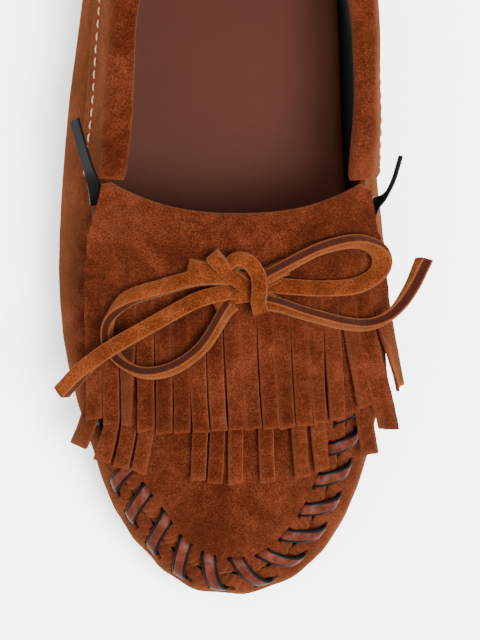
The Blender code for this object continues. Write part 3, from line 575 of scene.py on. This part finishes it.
# Painted shade in the crease valleys, fading away from the seam.
crease_shade = crease_shade * fade(from_edge, 4.0) * on_seam
grid = grid + normals * relief[..., None]
kept = np.ones((len(grid), grid.shape[1] - 1), bool)
slot_row = grid.shape[1] - 1 - depths.index(SLOT_FAR)
for a, b in ranges:
    kept[a:b, slot_row] = False
cut = 0.30 * fade(from_edge, 3.5) * on_seam
cut[:, -1] = 0.6
plug = slab(
    "plug_suede", grid, grid - normals * SUEDE, hide, kept, ring=True,
    marks={"cut": (cut, 0 * cut), "crease_shade": (crease_shade, 0 * cut)},
)
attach(plug, "shoe")
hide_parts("plug")

# Heel counter and quarter lining
# The counter is a fibre stiffener inside the heel and keeps its CAD shape.
# The lining is a thin near-black cloth glued to the inside of the side walls.
filler, tree, shader = principled("counter board", 0.9, 0.2)
shader.inputs["Base Color"].default_value = (0.35, 0.27, 0.18, 1.0)
paint("heel_counter", filler)


def lining_depth(t):
    """Depth of the lining's outer face behind the wall's face, deeper where the counter is."""
    heelward = np.clip((6.0 - np.abs(np.asarray(t) - HEEL)) / 1.6, 0, 1)
    return SUEDE + 0.3 + 1.5 * eased(heelward)


cloth, tree, shader = principled("lining cloth", 0.85, 0.25, 0.1)
weave = noise(tree, 2400, 2)
color = ramp(tree, weave, [(0.3, (0.0016, 0.0013, 0.0012)), (0.7, (0.0030, 0.0025, 0.0022))])
coat(tree, shader, color, [(weave, 0.3, 0.0002)])
lining_t = np.linspace(THROAT + 0.1, TURN - THROAT - 0.1, 160)
rows = (0.07, 0.1, 0.14, 0.19, 0.25, 0.34, 0.44, 0.56, 0.68, 0.8, 0.9)
points, normals = wall(lining_t, [12.0, 6.0, 1.0], rows)
depth = lining_depth(lining_t)[:, None, None]
LINING = 0.9
lining = slab("quarter_lining_cloth", points - normals * depth, points - normals * (depth + LINING), cloth)
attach(lining, "shoe")
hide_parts("quarter_lining")

# Collar cuff
# A strip of suede folded over the topline and filled by its own turned-in edges, so that it looks
# like a soft roll. A cream thread runs along its lower hem on the outside of the wall.


def through(points, count):
    """Evenly spaced points on smooth curves through control points (curve, control, xyz)."""
    before, after = 2 * points[:, :1] - points[:, 1:2], 2 * points[:, -1:] - points[:, -2:-1]
    p = np.concatenate([before, points, after], axis=1)
    t = np.linspace(0, points.shape[1] - 1 - 1e-6, 12 * points.shape[1])
    i = t.astype(int)
    f = (t - i)[None, :, None]
    made = []
    for line in spline(*(p[:, i + k] for k in range(4)), f):
        run = run_along(line[:, :3])
        made.append(sample(np.linspace(0, run[-1], count), run, line))
    return np.array(made)


cuff_t = np.linspace(THROAT + 0.02, TURN - THROAT - 0.02, 230)
HEM = 13.0
points, normals = wall(cuff_t, [HEM, HEM * 0.6, HEM * 0.22, 0.0, 9.0, 3.6])
depth = (lining_depth(cuff_t) + LINING + 0.4)[:, None]
out, lift, top = outward(cuff_t), np.array([0, 0, 1.0]), points[:, 3]
skins, cores = [], []
for row, extra in ((0, -0.3), (1, 0.1), (2, 0.5)):
    skins.append(points[:, row] + normals[:, row] * (2.2 + extra))
    cores.append(points[:, row] + normals[:, row] * 0.4)
medial = np.clip((cuff_t - HEEL) / 2.0, 0, 1)[:, None]
roll = ((1.6, 2.6, 0.4, 0.5), (-2.2, 3.9, -1.6, 0.8), (-5.6, 2.4, -3.6, 0.5))
for across, high, core_across, core_high in roll:
    across = across + medial * (-0.5 if across > 0 else 0.7)
    deeper = out * -(depth - 3.0) * (across < 0)
    skins.append(top + out * across + lift * high + deeper)
    cores.append(top + out * core_across + lift * core_high + deeper)
for row, extra in ((5, 0.3), (4, -0.2)):
    cores.append(points[:, row] - normals[:, row] * depth)
    skins.append(points[:, row] - normals[:, row] * (depth + 1.8 + extra))
cuff_rows = 34
skin = through(np.stack(skins, axis=1), cuff_rows)
core = through(np.stack(cores, axis=1), cuff_rows)
bulge = unit(skin - core)
length_run = run_along(top)[:, None]
place = np.linspace(0, 1, cuff_rows)[None, :]
puff = 0.45 * lumps(length_run, place * 30.0, 31, 30.0) * np.sin(np.pi * place)
close = np.minimum(length_run, length_run[-1] - length_run)
puff -= 0.8 * np.exp(-close / 0.8)
skin = skin + bulge * puff[..., None]
cut = np.zeros(skin.shape[:2])
cut[:, 0] = cut[:, -1] = 0.5
cut[0, :] = cut[-1, :] = 0.5
cuff = slab("collar_cuff_suede", skin, core, hide, marks={"cut": (cut, cut)})
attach(cuff, "shoe")
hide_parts("collar_cuff")

# Hem thread
# Waxed cream thread in a running stitch near the cuff's lower edge, ending in a small back-stitch.
# Each stitch is a short rounded length that sinks into the suede at both ends.
thread, tree, shader = principled("cream thread", 0.7, 0.3, 0.1)
twist = noise(tree, 2600, 2)
color = ramp(tree, twist, [(0.35, (0.11, 0.062, 0.034)), (0.7, (0.26, 0.17, 0.10))])
coat(tree, shader, color, [(twist, 0.4, 0.0002)])


def tube_faces(rings, around):
    """Faces of a closed tube of rings of points."""
    index = np.arange(rings * around).reshape(rings, around)
    after = np.roll(index, -1, axis=1)
    faces = np.stack([index[:-1], after[:-1], after[1:], index[1:]], -1).reshape(-1, 4)
    return [tuple(f) for f in faces] + [tuple(index[0]), tuple(index[-1][::-1])]


def rods(name, lines, radius, material, sides=8):
    """Rounded threads along short lines of points, as one object of many closed rods."""
    verts, faces = [], []
    turn = np.linspace(0, math.tau, sides, endpoint=False)[None, :, None]
    for line in lines:
        along = unit(np.gradient(line, axis=0))
        across = unit(np.cross(along, np.array([0.3, 0.2, 0.93])))
        ring = across[:, None] * np.cos(turn) + np.cross(along, across)[:, None] * np.sin(turn)
        thick = radius * np.sqrt(np.maximum(0.08, 1 - np.linspace(-1, 1, len(line)) ** 4))
        faces += [tuple(i + len(verts) for i in f) for f in tube_faces(len(line), sides)]
        verts += list((line[:, None] + ring * thick[:, None, None]).reshape(-1, 3))
    return build(name, verts, faces, material)


hem_row, back_stitch = 4, 6.0
hem_line = skin[:, hem_row]
hem_run = run_along(hem_line)
lines = []
at = 0.6
while at < hem_run[-1] - 3.0:
    size, pitch = (2.6, 3.6) if at > back_stitch else (1.7, 2.0)
    where = at + np.linspace(0, size, 7)
    away = sample(where, hem_run, bulge[:, hem_row])
    rise = 0.42 * np.sin(np.linspace(0, math.pi, 7)) - 0.08
    lines.append(sample(where, hem_run, hem_line) + away * rise[:, None])
    at += pitch
hem = rods("hem_thread", lines, 0.24, thread)
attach(hem, "shoe")

# Whip lace
# One flat brown leather lace through all the slots, over the seam and under to the next slot.
# Its face is smooth and lightly waxed, and its cut edges and back are black.
lace, tree, shader = principled("lace leather", 0.42, 0.035)
streak = noise(tree, 420, 4, 0.6)
fine = noise(tree, 2600, 3)
tone = weighted(tree, (streak, 0.7), (fine, 0.3))
browns = [(0.33, (0.016, 0.0028, 0.0012)), (0.5, (0.032, 0.0064, 0.0030)), (0.68, (0.060, 0.0145, 0.0075))]
face = ramp(tree, tone, browns)
edge = maths(tree, "GREATER_THAN", weighted(tree, (marked(tree, "back"), 1.0), (fine, 0.12)), 0.5)
color = blend_color(tree, edge, face, (0.0016, 0.0015, 0.0017))
coat(tree, shader, color, [(streak, 0.12, 0.0004), (fine, 0.15, 0.00015)])


def strap(name, path, across, thick, material, worn=None):
    """A flat lace along path. across is half its width as a vector, and thick its thickness. The section
    is a rounded bar whose face is slightly crowned; the mark "back" is 1 on its edges and reverse, and
    along the worn stretch."""
    normal = unit(np.cross(np.gradient(path, axis=0), across))
    section = [(-1.0, -0.3), (-1.0, 0.3), (-0.9, 0.52), (-0.74, 0.6), (-0.55, 0.66), (0.0, 0.74)]
    section += [(0.55, 0.66), (0.74, 0.6), (0.9, 0.52), (1.0, 0.3), (1.0, -0.3), (0.9, -0.5), (0.4, -0.5)]
    section += [(-0.4, -0.5), (-0.9, -0.5)]
    verts = np.stack([path + across * u + normal * h * thick for u, h in section], axis=1)
    marks = np.tile([float(abs(u) > 0.6 or h < 0) for u, h in section], (len(path), 1))
    if worn is not None:
        marks[worn] = 1.0
    return build(name, verts.reshape(-1, 3), tube_faces(*verts.shape[:2]), material, {"back": marks})


def merged(name, pieces):
    """Several closed solids as one object."""
    made = bmesh.new()
    for piece in pieces:
        made.from_mesh(piece.data)
    mesh = pieces[0].data.copy()
    made.to_mesh(mesh)
    made.free()
    mesh.name = name
    for piece in pieces:
        bpy.data.objects.remove(piece)
    obj = bpy.data.objects.new(name, mesh)
    bpy.context.collection.objects.link(obj)
    return obj


reach = 4.5
# One turn of the lace as (share of the way along, share from wrap to plug, height off the suede).
over = [(0.0, 0.0, 0.0), (0.05, 0.0, 1.0), (0.22, 0.16, 2.05), (0.5, 0.5, 2.5), (0.78, 0.84, 2.05)]
over += [(0.95, 1.0, 1.0), (1.0, 1.0, 0.0)]
under = [(0.06, 1.0, -1.6), (0.3, 0.78, -2.6), (0.7, 0.22, -2.6), (0.94, 0.0, -1.6)]
steps = []
for middle in middles:
    last_one = middle == middles[-1]
    turn = over[:2] if last_one else over
    steps += [(middle + SLANT * (2 * f - 1), cross, high) for f, cross, high in turn]
    if not last_one:
        steps += [(middle + SLANT + f * (PITCH - 2 * SLANT), cross, high) for f, cross, high in under]
runs, cross, high = np.array(steps).T


def lace_points(runs, cross, high):
    """Points of the whip lace: between a slot of the wrap and a slot of the plug, raised off both."""
    t = station(runs)
    wrap_side, wrap_face = wall(t, [reach], (), True)
    wrap_side = wrap_side[:, 0] - wrap_face[:, 0] * SUEDE / 2
    plug_side = rim(t) + inward(t) * (reach * reach_scale(t))[:, None]
    plug_side[:, 2] = crown(plug_side[:, 0], plug_side[:, 1])
    plug_face = facing(crown, plug_side[:, 0], plug_side[:, 1])
    plug_side = plug_side - plug_face * SUEDE / 2
    raised = unit(wrap_face[:, 0] + (plug_face - wrap_face[:, 0]) * cross[:, None])
    seam_dir = unit(rim(t + 0.03) - rim(t - 0.03))
    return wrap_side + (plug_side - wrap_side) * cross[:, None] + raised * high[:, None], seam_dir


path, seam_dir = lace_points(runs, cross, high)
fine_path = through(np.concatenate([path, seam_dir], axis=1)[None], len(path) * 5)[0]
path, across = fine_path[:, :3], unit(fine_path[:, 3:]) * 2.25
# The free ends: route, direction of the half-width once twisted, thickness, and where the black back shows.
TAILS = (
    ([(39.6, -12.0, 45.0), (40.8, -9.6, 47.6), (42.6, -8.0, 49.8), (44.0, -6.2, 51.4), (45.6, -2.4, 53.4),
        (47.2, 3.8, 56.0)], (0.02, -0.05, 1.0), 0.95, 24),
    ([(-38.2, -9.6, 45.6), (-38.6, -7.0, 48.4), (-39.2, -4.0, 49.6), (-41.0, 1.6, 50.2), (-42.8, 7.6, 51.4),
        (-44.6, 13.8, 53.0)], (0.50, 0.22, 0.84), 1.2, 18),
)
pieces = [strap("whip_turns", path, across, 1.0, lace)]
for tail, tilt, thick, turned in TAILS:
    run = through(np.array([tail]), 40)[0]
    twist = np.clip(np.linspace(0, 2.2, len(run))[:, None], 0, 1)
    flat = np.cross(np.gradient(run, axis=0), [0, 0, 1.0])
    lean = unit(unit(flat) * np.sign(flat[:, :1]) * (1 - twist) + unit(np.array(tilt)) * twist)
    pieces.append(strap("whip_tail", run, lean * 1.9, thick, lace, worn=slice(turned, None)))
whip = merged("whip_lace_leather", pieces)
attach(whip, "shoe")
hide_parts("whip_lace")

# Lower fringe
# A second flap of suede under the first, cut into strands from just below the fold.
# Each strand has its own lean, length and curl, because suede strands never hang alike.
CELL = 1.5
grid_x = np.arange(-66, 66 + CELL, CELL)
grid_y = np.arange(-122, 8 + CELL, CELL)
trees = []
for piece in (wrap, whip):
    piece.data.calc_loop_triangles()
    points = [v.co * 1000 for v in piece.data.vertices]
    trees.append(BVHTree.FromPolygons(points, [tuple(f.vertices) for f in piece.data.loop_triangles]))
ground = np.full((len(grid_x), len(grid_y)), -1.0)
for i, x in enumerate(grid_x):
    for j, y in enumerate(grid_y):
        lat, med = seam_at(min(y, PLUG_END))
        if lat[0] <= x <= med[0]:
            ground[i, j] = crown(x, y)
        for tree in trees if abs(x) > 25.0 else ():
            hit = tree.ray_cast(Vector((x, y, 200.0)), Vector((0, 0, -1)))[0]
            if hit is not None and hit.z > 15.0:
                ground[i, j] = max(ground[i, j], hit.z)
for column in ground.T:
    known = np.nonzero(column > 0)[0]
    if len(known):
        for i in range(known[0] - 1, -1, -1):
            column[i] = column[i + 1] - 2.4 * CELL
        for i in range(known[-1] + 1, len(column)):
            column[i] = column[i - 1] - 2.4 * CELL


def spread(field, radius):
    """Largest value within radius cells, along both axes."""
    for axis in (0, 1):
        field = np.max([np.roll(field, k, axis=axis) for k in range(-radius, radius + 1)], axis=0)
    return field


def soften(field, times):
    """Repeated three-point averages along both axes."""
    for _ in range(times):
        for axis in (0, 1):
            field = (np.roll(field, 1, axis) + 2 * field + np.roll(field, -1, axis)) / 4
    return field


draped = soften(np.maximum(soften(spread(ground, 2), 4), spread(ground, 1)), 1)


def under_height(x, y):
    """Smoothed height of whatever the fringe lies on."""
    x, y = np.asarray(x, float), np.asarray(y, float)
    fx = np.clip((x - grid_x[0]) / CELL, 0, len(grid_x) - 1.001)
    fy = np.clip((y - grid_y[0]) / CELL, 0, len(grid_y) - 1.001)
    i, j = fx.astype(int), fy.astype(int)
    u, v = fx - i, fy - j
    low = draped[i, j] * (1 - u) + draped[i + 1, j] * u
    high = draped[i, j + 1] * (1 - u) + draped[i + 1, j + 1] * u
    return low * (1 - v) + high * v


def lay(x, y, height):
    """Points at a height above the draped surface, measured square to it, and its normals."""
    n = facing(under_height, x, y, 1.0)
    tall = height / np.maximum(n[..., 2], 0.4)
    return np.stack([x, y, under_height(x, y) + tall], axis=-1), n


def fringe(name, material, top_rows, band, cuts, ends, base, fan, seed):
    """A fringed flap as one closed sheet. top_rows gives (outer, inner) points of its top edge for the
    columns' places u across the flap; band gives its sides at the cuts; cuts is where each cut starts;
    ends gives each strand's end as x, y, roll in degrees, lift and cupping; fan is how much of a strand's
    sideways lean comes near its end."""
    draw = np.random.default_rng(seed)
    strands, wide, thick = len(ends), 7, KILTIE_THICK
    flat_rows, strand_rows = 13, 29
    s = np.linspace(-1, 1, wide)[None, :]
    place = ((np.arange(strands)[:, None] + 0.5 + 0.4985 * s) / strands).reshape(-1)
    outer, inner = top_rows(place)
    lat, med = band
    cut_x = lat + (med - lat) * place
    slit = draw.uniform(-1.4, 1.4, strands + 1) + cuts
    cut_y = np.interp(place * strands, np.arange(strands + 1), slit)
    start_out = outer[:, -1]
    for f in np.linspace(0, 1, flat_rows + 1)[1:]:
        x = start_out[:, 0] + (cut_x - start_out[:, 0]) * f
        y = start_out[:, 1] + (cut_y - start_out[:, 1]) * f
        wave = 0.42 * lumps(x * 0.7, y, seed, 17.0) * math.sin(math.pi * min(1.0, f * 0.5 + 0.1))
        wave = wave - 0.9 * np.exp(-(((x - 6) / 13) ** 2) - ((y + 27.5) / 3.0) ** 2) * (base > 1)
        low, n = lay(x, y, np.full_like(x, base))
        low = low + n * wave[:, None]
        outer = np.concatenate([outer, (low + n * thick)[:, None]], axis=1)
        inner = np.concatenate([inner, low[:, None]], axis=1)
    x0, y0 = cut_x.reshape(strands, wide), cut_y.reshape(strands, wide)
    ends = np.array(ends, float)
    last_x, last_y, roll, lift, cup = (ends[:, k, None] for k in range(5))
    middle_x, middle_y = x0.mean(axis=1, keepdims=True), y0.mean(axis=1, keepdims=True)
    half = (x0[:, -1:] - x0[:, :1]) / 2
    sway = draw.uniform(-0.55, 0.55, (strands, 1))
    ripple, phase = draw.uniform(0.0, 0.35, (strands, 1)), draw.uniform(0, math.tau, (strands, 1))
    slant = draw.uniform(-0.5, 0.5, (strands, 1))
    for f in np.linspace(0, 1, strand_rows + 1)[1:]:
        ease = eased(f)
        lean, slope = (1 - fan) * f + fan * f**3, (1 - fan) + 3 * fan * f**2
        cx = middle_x + (last_x - middle_x) * lean + sway * math.sin(math.pi * f) * f
        cy = middle_y + (last_y - middle_y) * f
        turn = np.radians(roll) * ease
        side = unit(np.stack([-(last_y - middle_y), (last_x - middle_x) * slope * min(1.0, f * 4)], axis=-1))
        edge = half * (1.0 - 0.02 * f) + draw.uniform(-0.05, 0.05, (strands, 1))
        x = cx + s * edge * np.cos(turn) * side[..., 0]
        y = cy + s * edge * np.cos(turn) * side[..., 1] + (y0 - middle_y) * (1 - f) + slant * s * f**8
        low, n = lay(x, y, np.full_like(x, base))
        curl = cup * ease * (s * s)
        high = np.abs(edge * np.sin(turn)) + s * edge * np.sin(turn) + lift * ease + curl
        high = high + ripple * (1 + np.sin(phase + 7 * f)) * min(1.0, 3 * f)
        across = np.stack([side[..., 0] + 0 * x, side[..., 1] + 0 * x, 0 * x], axis=-1)
        tilt = turn + np.arctan(2 * cup * ease * s / np.maximum(edge, 0.5))
        up = unit(n * np.cos(tilt)[..., None] - across * np.sin(tilt)[..., None])
        low = (low + n * high[..., None]).reshape(-1, 3)
        up = up.reshape(-1, 3)
        outer = np.concatenate([outer, (low + up * thick)[:, None]], axis=1)
        inner = np.concatenate([inner, low[:, None]], axis=1)
    # Rounded long edges: the outer face drops a little at the sides of every strand.
    columns, rows = outer.shape[:2]
    first = rows - strand_rows
    side_of = np.tile(np.abs(np.linspace(-1, 1, wide)) ** 6, strands)[:, None]
    sink = side_of * np.clip((np.arange(rows) - first + 2) / 3.0, 0, 1)[None, :] * 0.3
    outer = outer + (inner - outer) * sink[..., None]
    kept = np.ones((columns - 1, rows - 1), bool)
    kept[wide - 1 :: wide, first - 1 :] = False
    mark = side_of * np.clip((np.arange(rows) - first + 1) / 2.0, 0, 1)[None, :] * 0.3
    mark[:, -1] = 0.5
    return slab(name, outer, inner, material, kept, marks={"cut": (mark, mark)})


HINGE_Y, KILTIE_THICK = -17.2, 1.1
fringe_hide = suede("fringe suede", DEEP, BODY, BRIGHT)


def under_top(place):
    """The lower flap's top edge, hidden under the upper one."""
    x = -36.0 + 76.0 * place
    high, n = lay(x, np.full_like(x, HINGE_Y - 0.3), np.full_like(x, 0.5))
    return (high + n * KILTIE_THICK)[:, None], high[:, None]


# Each strand's end, from the lateral side: x, y, roll, lift and cupping.
LOWER = [
    (-42.0, -78.2, -6, 0.0, 0.3), (-35.6, -82.4, 6, 0.1, 0.3), (-30.8, -84.6, -4, 0.3, 0.2),
    (-25.6, -85.8, 5, 0.1, 0.4), (-19.8, -72.0, 0, 0.0, 0.0), (-14.2, -71.0, 0, 0.0, 0.0),
    (-9.0, -88.0, 4, 0.0, 0.3), (-4.2, -88.8, 0, 0.1, 0.2), (1.6, -89.0, -5, 0.0, 0.4),
    (6.3, -73.0, 0, 0.0, 0.0), (10.8, -88.6, 5, 0.2, 0.4), (15.8, -72.5, 0, 0.0, 0.0),
    (20.7, -87.2, -6, 0.2, 0.3), (26.7, -85.2, 4, 0.0, 0.3), (31.1, -70.5, 0, 0.0, 0.0),
    (35.4, -69.0, 0, 0.0, 0.0), (39.8, -80.6, 16, 0.4, 0.6), (44.2, -68.0, 10, 0.2, 0.5),
]
lower = fringe("kiltie_under_suede", fringe_hide, under_top, (-37.0, 43.0), -34.0, LOWER, 0.5, 0.75, 41)
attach(lower, "under_flap")
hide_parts("kiltie_under")

# Kiltie
# The upper fringed flap and its rolled top edge are one piece of suede.
# The edge is turned under across the instep.


def upper_top(place):
    """Rows of the rolled top edge, from under the roll to the bending line."""
    bow = np.abs(2 * place - 1)
    top_x, low_x = -37.0 + 76.0 * place, -40.2 + 81.4 * place
    top_y = -12.9 + 9.6 * bow**2.4 - 2.0 * np.clip(bow - 0.93, 0, 1) / 0.07
    top_y = top_y - 1.5 * np.clip((place - 0.96) / 0.04, 0, 1)
    outer, inner = [], []
    # Shares of the way down to the bending line and heights, for the outer face and then the inner one.
    rows = [
        (0.00, 0.8, 0.10, 0.5), (-0.06, 1.3, 0.12, 0.8), (-0.09, 2.0, 0.14, 1.2), (-0.06, 2.8, 0.16, 1.6),
        (0.03, 3.5, 0.19, 1.9), (0.16, 3.9, 0.26, 2.0), (0.33, 3.85, 0.38, 2.05), (0.55, 3.6, 0.57, 2.1),
        (0.78, 3.45, 0.79, 2.2), (1.0, 3.4, 1.0, 2.3),
    ]
    for outer_f, outer_high, inner_f, inner_high in rows:
        for f, high, side in ((outer_f, outer_high, outer), (inner_f, inner_high, inner)):
            x = top_x + (low_x - top_x) * max(f, 0)
            y = top_y + (HINGE_Y - top_y) * f
            if side is outer:
                high = high + 0.25 * lumps(x, y * 0.5, 53, 16.0)
            side.append(lay(x, y, np.zeros_like(x) + high)[0])
    return np.stack(outer, axis=1), np.stack(inner, axis=1)


UPPER = [
    (-37.9, -70.4, 12, 0.2, 0.3), (-33.4, -71.6, -10, 0.6, 0.2), (-28.4, -71.8, 42, 0.6, 0.3),
    (-23.8, -73.8, -8, 0.1, 0.4), (-18.7, -74.5, 4, 0.3, 0.5), (-13.8, -74.4, -4, 0.0, 0.2),
    (-8.3, -74.0, 6, 0.3, 0.4), (-3.3, -73.6, -5, 0.0, 0.5), (1.7, -73.3, 3, 0.3, 0.2),
    (6.4, -73.2, -6, 0.0, 0.4), (11.5, -73.1, 5, 0.3, 0.3), (16.0, -73.0, -3, 0.1, 0.5),
    (20.8, -72.2, 8, 0.4, 0.3), (25.4, -71.6, -6, 0.0, 0.5), (30.6, -70.6, 6, 0.3, 0.3),
    (38.2, -66.6, -14, 0.6, 0.8), (42.8, -73.0, 40, 1.0, 1.5), (47.2, -61.6, -24, 0.6, 1.2),
]
kiltie = fringe("kiltie_suede", fringe_hide, upper_top, (-41.2, 44.4), -34.6, UPPER, 2.3, 0.15, 43)
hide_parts("kiltie_fold", "kiltie_upper")
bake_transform(kiltie)

# Bow lace
# A thick suede lace tied in a bow: napped orange faces and a darker core along its cut edges.
# It lies on the kiltie, with a short stub of lace entering the hide on each side of the knot.
tones = ((0.021, 0.0038, 0.0010), (0.044, 0.0092, 0.0026), (0.085, 0.022, 0.0070))
bow_hide = suede("bow suede", *tones, (0.013, 0.0034, 0.0026))
BOW_HALF, BOW_THICK, BOW_BASE = 2.2, 2.7, 3.9
BAR = [(-1.0, -0.27), (-1.0, 0.0), (-1.0, 0.27), (-0.96, 0.42), (-0.8, 0.5), (0.0, 0.53), (0.8, 0.5)]
BAR += [(0.96, 0.42)]
BAR += [(-u, -h) for u, h in BAR]


def bow_lace(name, plan, count, seed):
    """A length of bow lace. plan rows are x, y, clearance above the kiltie and roll in degrees: at 0 a
    face is up, and at 90 the left edge is. Returns the piece and its middle line."""
    rows = through(np.array([plan], float), count)[0]
    flat = rows[:, :2]
    along = unit(np.gradient(flat, axis=0))
    left = np.column_stack([-along[:, 1], along[:, 0], np.zeros(count)])
    roll = np.radians(rows[:, 3])[:, None]
    rise = BOW_HALF * np.abs(np.sin(roll[:, 0])) + BOW_THICK / 2 * np.abs(np.cos(roll[:, 0]))
    middle, n = lay(np.clip(flat[:, 0], -45, 44), flat[:, 1], rows[:, 2] + BOW_BASE + rise)
    middle[:, 0] = flat[:, 0]
    across = left * np.cos(roll) + n * np.sin(roll)
    face = n * np.cos(roll) - left * np.sin(roll)
    draw = np.random.default_rng(seed)
    verts = []
    for u, h in BAR:
        fray = 1.0 + (draw.normal(0, 0.018, (count, 1)) if abs(u) > 0.8 else 0.0)
        verts.append(middle + across * (u * BOW_HALF) * fray + face * (h * BOW_THICK))
    verts = np.stack(verts, axis=1).reshape(-1, 3)
    faces = tube_faces(count, len(BAR))
    core = np.tile([1.0 if abs(u) == 1.0 else 0.0 for u, h in BAR], (count, 1))
    fuzz = np.tile([0.7 if 0.9 < abs(u) < 1.0 else 0.0 for u, h in BAR], (count, 1))
    core[[0, -1]] = 0.6
    return build(name, verts, faces, bow_hide, {"back": core, "cut": fuzz}, 60.0), middle


LAT, MED = -2.5, 10.5
KNOT = {
    "cut_end": ([
        (-6.4, -24.2, 3.4, 0), (-4.4, -26.4, 3.2, 6), (-1.0, -29.6, 2.6, 12), (3.2, -32.6, 1.6, 8),
        (6.5, -34.8, 0.6, 0)], 22, 61),
    "curl": ([
        (-1.6, -27.6, 1.0, -50), (0.8, -25.9, 2.4, -40), (4.0, -26.6, 3.8, -18), (6.6, -30.2, 4.8, 4),
        (7.0, -34.6, 4.9, 10), (6.8, -37.6, 4.0, 6), (7.7, -40.6, 2.9, 0)], 34, 62),
    "core_upper": ([
        (-5.5, -29.4, 0.2, 10), (1.0, -30.8, 0.8, 0), (7.0, -31.4, 0.8, 0), (12.5, -29.2, 0.2, 10)], 18, 63),
    "core_lower": ([
        (-5.5, -38.2, 0.2, 12), (0.5, -35.6, 1.2, 0), (6.5, -35.4, 1.2, 0), (12.5, -38.2, 0.2, 12)], 18, 64),
    "stub_lateral": ([
        (-12.8, -27.2, -1.6, 0), (-11.0, -27.6, -0.2, 0), (-7.0, -28.6, 0.9, 0), (-2.0, -30.4, 1.4, 0)],
        18, 65),
    "stub_medial": ([
        (15.2, -27.4, -1.6, 0), (13.4, -28.0, -0.2, 0), (10.0, -29.6, 0.9, 0), (6.0, -31.2, 1.4, 0)], 18, 66),
}
pieces = [bow_lace(name, *drawn)[0] for name, drawn in KNOT.items()]
knot = merged("bow_knot_lace", pieces)
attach(knot, "upper_flap")
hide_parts("bow_knot")

LOOPS = {
    "lateral_loop": ([
        (LAT + 1.2, -30.4, 0.8, 16), (-10.5, -30.8, 0.2, 22), (-21.0, -33.6, 0.1, 24),
        (-29.5, -36.5, 0.1, 38), (-34.4, -42.0, 0.1, 78), (-35.0, -48.5, 0.1, 84),
        (-31.0, -54.5, 0.1, 72), (-24.5, -57.5, 0.1, 62), (-16.5, -56.0, 0.1, 58),
        (-8.5, -50.0, 0.1, 60), (LAT, -40.6, 0.4, 52), (LAT + 2.2, -38.0, 0.8, 40)],
        110, "bow_loop_lateral", "object"),
    "lateral_tail": ([
        (LAT + 2.4, -34.2, 1.6, 8), (-9.5, -36.6, 1.4, 12), (-18.0, -41.0, 2.0, 10),
        (-26.0, -45.6, 3.2, 8), (-34.5, -50.6, 4.6, 8), (-41.0, -55.5, 3.4, 10), (-48.0, -62.9, 1.0, 14)],
        60, "bow_tail_lateral", "bare"),
    "medial_loop": ([
        (MED - 2.0, -31.0, 1.8, 48), (17.0, -26.0, 1.6, 56), (24.0, -22.6, 0.6, 56), (31.5, -20.6, 0.1, 52),
        (37.0, -20.6, 0.1, 48), (41.2, -22.8, 0.3, 46), (42.4, -26.8, 0.4, 44), (40.0, -30.5, 0.2, 34),
        (34.0, -33.0, 0.1, 22), (25.5, -33.6, 0.1, 16), (17.0, -33.2, 0.2, 14), (MED - 2.0, -32.4, 0.4, 10)],
        110, "bow_loop_medial", "object"),
    "medial_tail": ([
        (MED - 2.6, -37.4, 1.0, 40), (13.8, -38.6, 0.6, 50), (19.5, -40.4, 0.2, 56), (31.5, -43.4, 0.2, 60),
        (40.0, -43.6, 0.8, 60), (46.5, -39.6, 1.8, 58), (50.6, -33.0, 2.8, 62), (53.6, -25.4, 3.2, 70)],
        64, "bow_tail_medial", "bare"),
}
for body, (plan, count, solid, far_end) in LOOPS.items():
    piece, middle = bow_lace(solid + "_lace", plan, count, len(body))
    path = [tuple(float(c) * 0.001 for c in p) for p in middle]
    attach(piece, body)
    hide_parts(solid)

# Stage
# A pale floor and soft studio light from above, stronger from the medial side and the toe.
# The camera looks almost straight down, from slightly to the lateral side.
pale, tree, shader = principled("pale floor", 0.9, 0.1)
shader.inputs["Base Color"].default_value = (0.97, 0.97, 0.97, 1.0)
bpy.ops.mesh.primitive_plane_add(size=6.0, location=(0, 0, -0.0002))
floor = bpy.context.object
floor.name = "floor"
floor.data.materials.append(pale)
world = bpy.data.worlds.new("studio")
bpy.context.scene.world = world
world.use_nodes = True
world.node_tree.nodes["Background"].inputs[0].default_value = (1.0, 1.0, 1.0, 1.0)
world.node_tree.nodes["Background"].inputs[1].default_value = 3.2
for name, place, size, power in (
    ("key", (0.32, -0.26, 1.25), 0.50, 66.0),
    ("fill", (-0.7, 0.2, 0.9), 0.9, 4.0),
):
    lamp = bpy.data.lights.new(name, "AREA")
    lamp.energy, lamp.size = power, size
    light = bpy.data.objects.new(name, lamp)
    light.location = place
    light.rotation_euler = (Vector((0, -0.03, 0.03)) - Vector(place)).to_track_quat("-Z", "Y").to_euler()
    bpy.context.collection.objects.link(light)

camera = bpy.data.cameras.new("camera")
camera.lens, camera.sensor_width = 213.0, 36.0
eye = bpy.data.objects.new("camera", camera)
aim = Vector((0.0040, -0.0425, 0.020))
back_off = Vector((-0.060, 0.0, 1.0)).normalized()
eye.location = aim + back_off * 1.1
right = Vector((0, 1, 0)).cross(back_off).normalized()
eye.rotation_euler = Matrix((right, back_off.cross(right), back_off)).transposed().to_euler()
bpy.context.collection.objects.link(eye)
bpy.context.scene.camera = eye
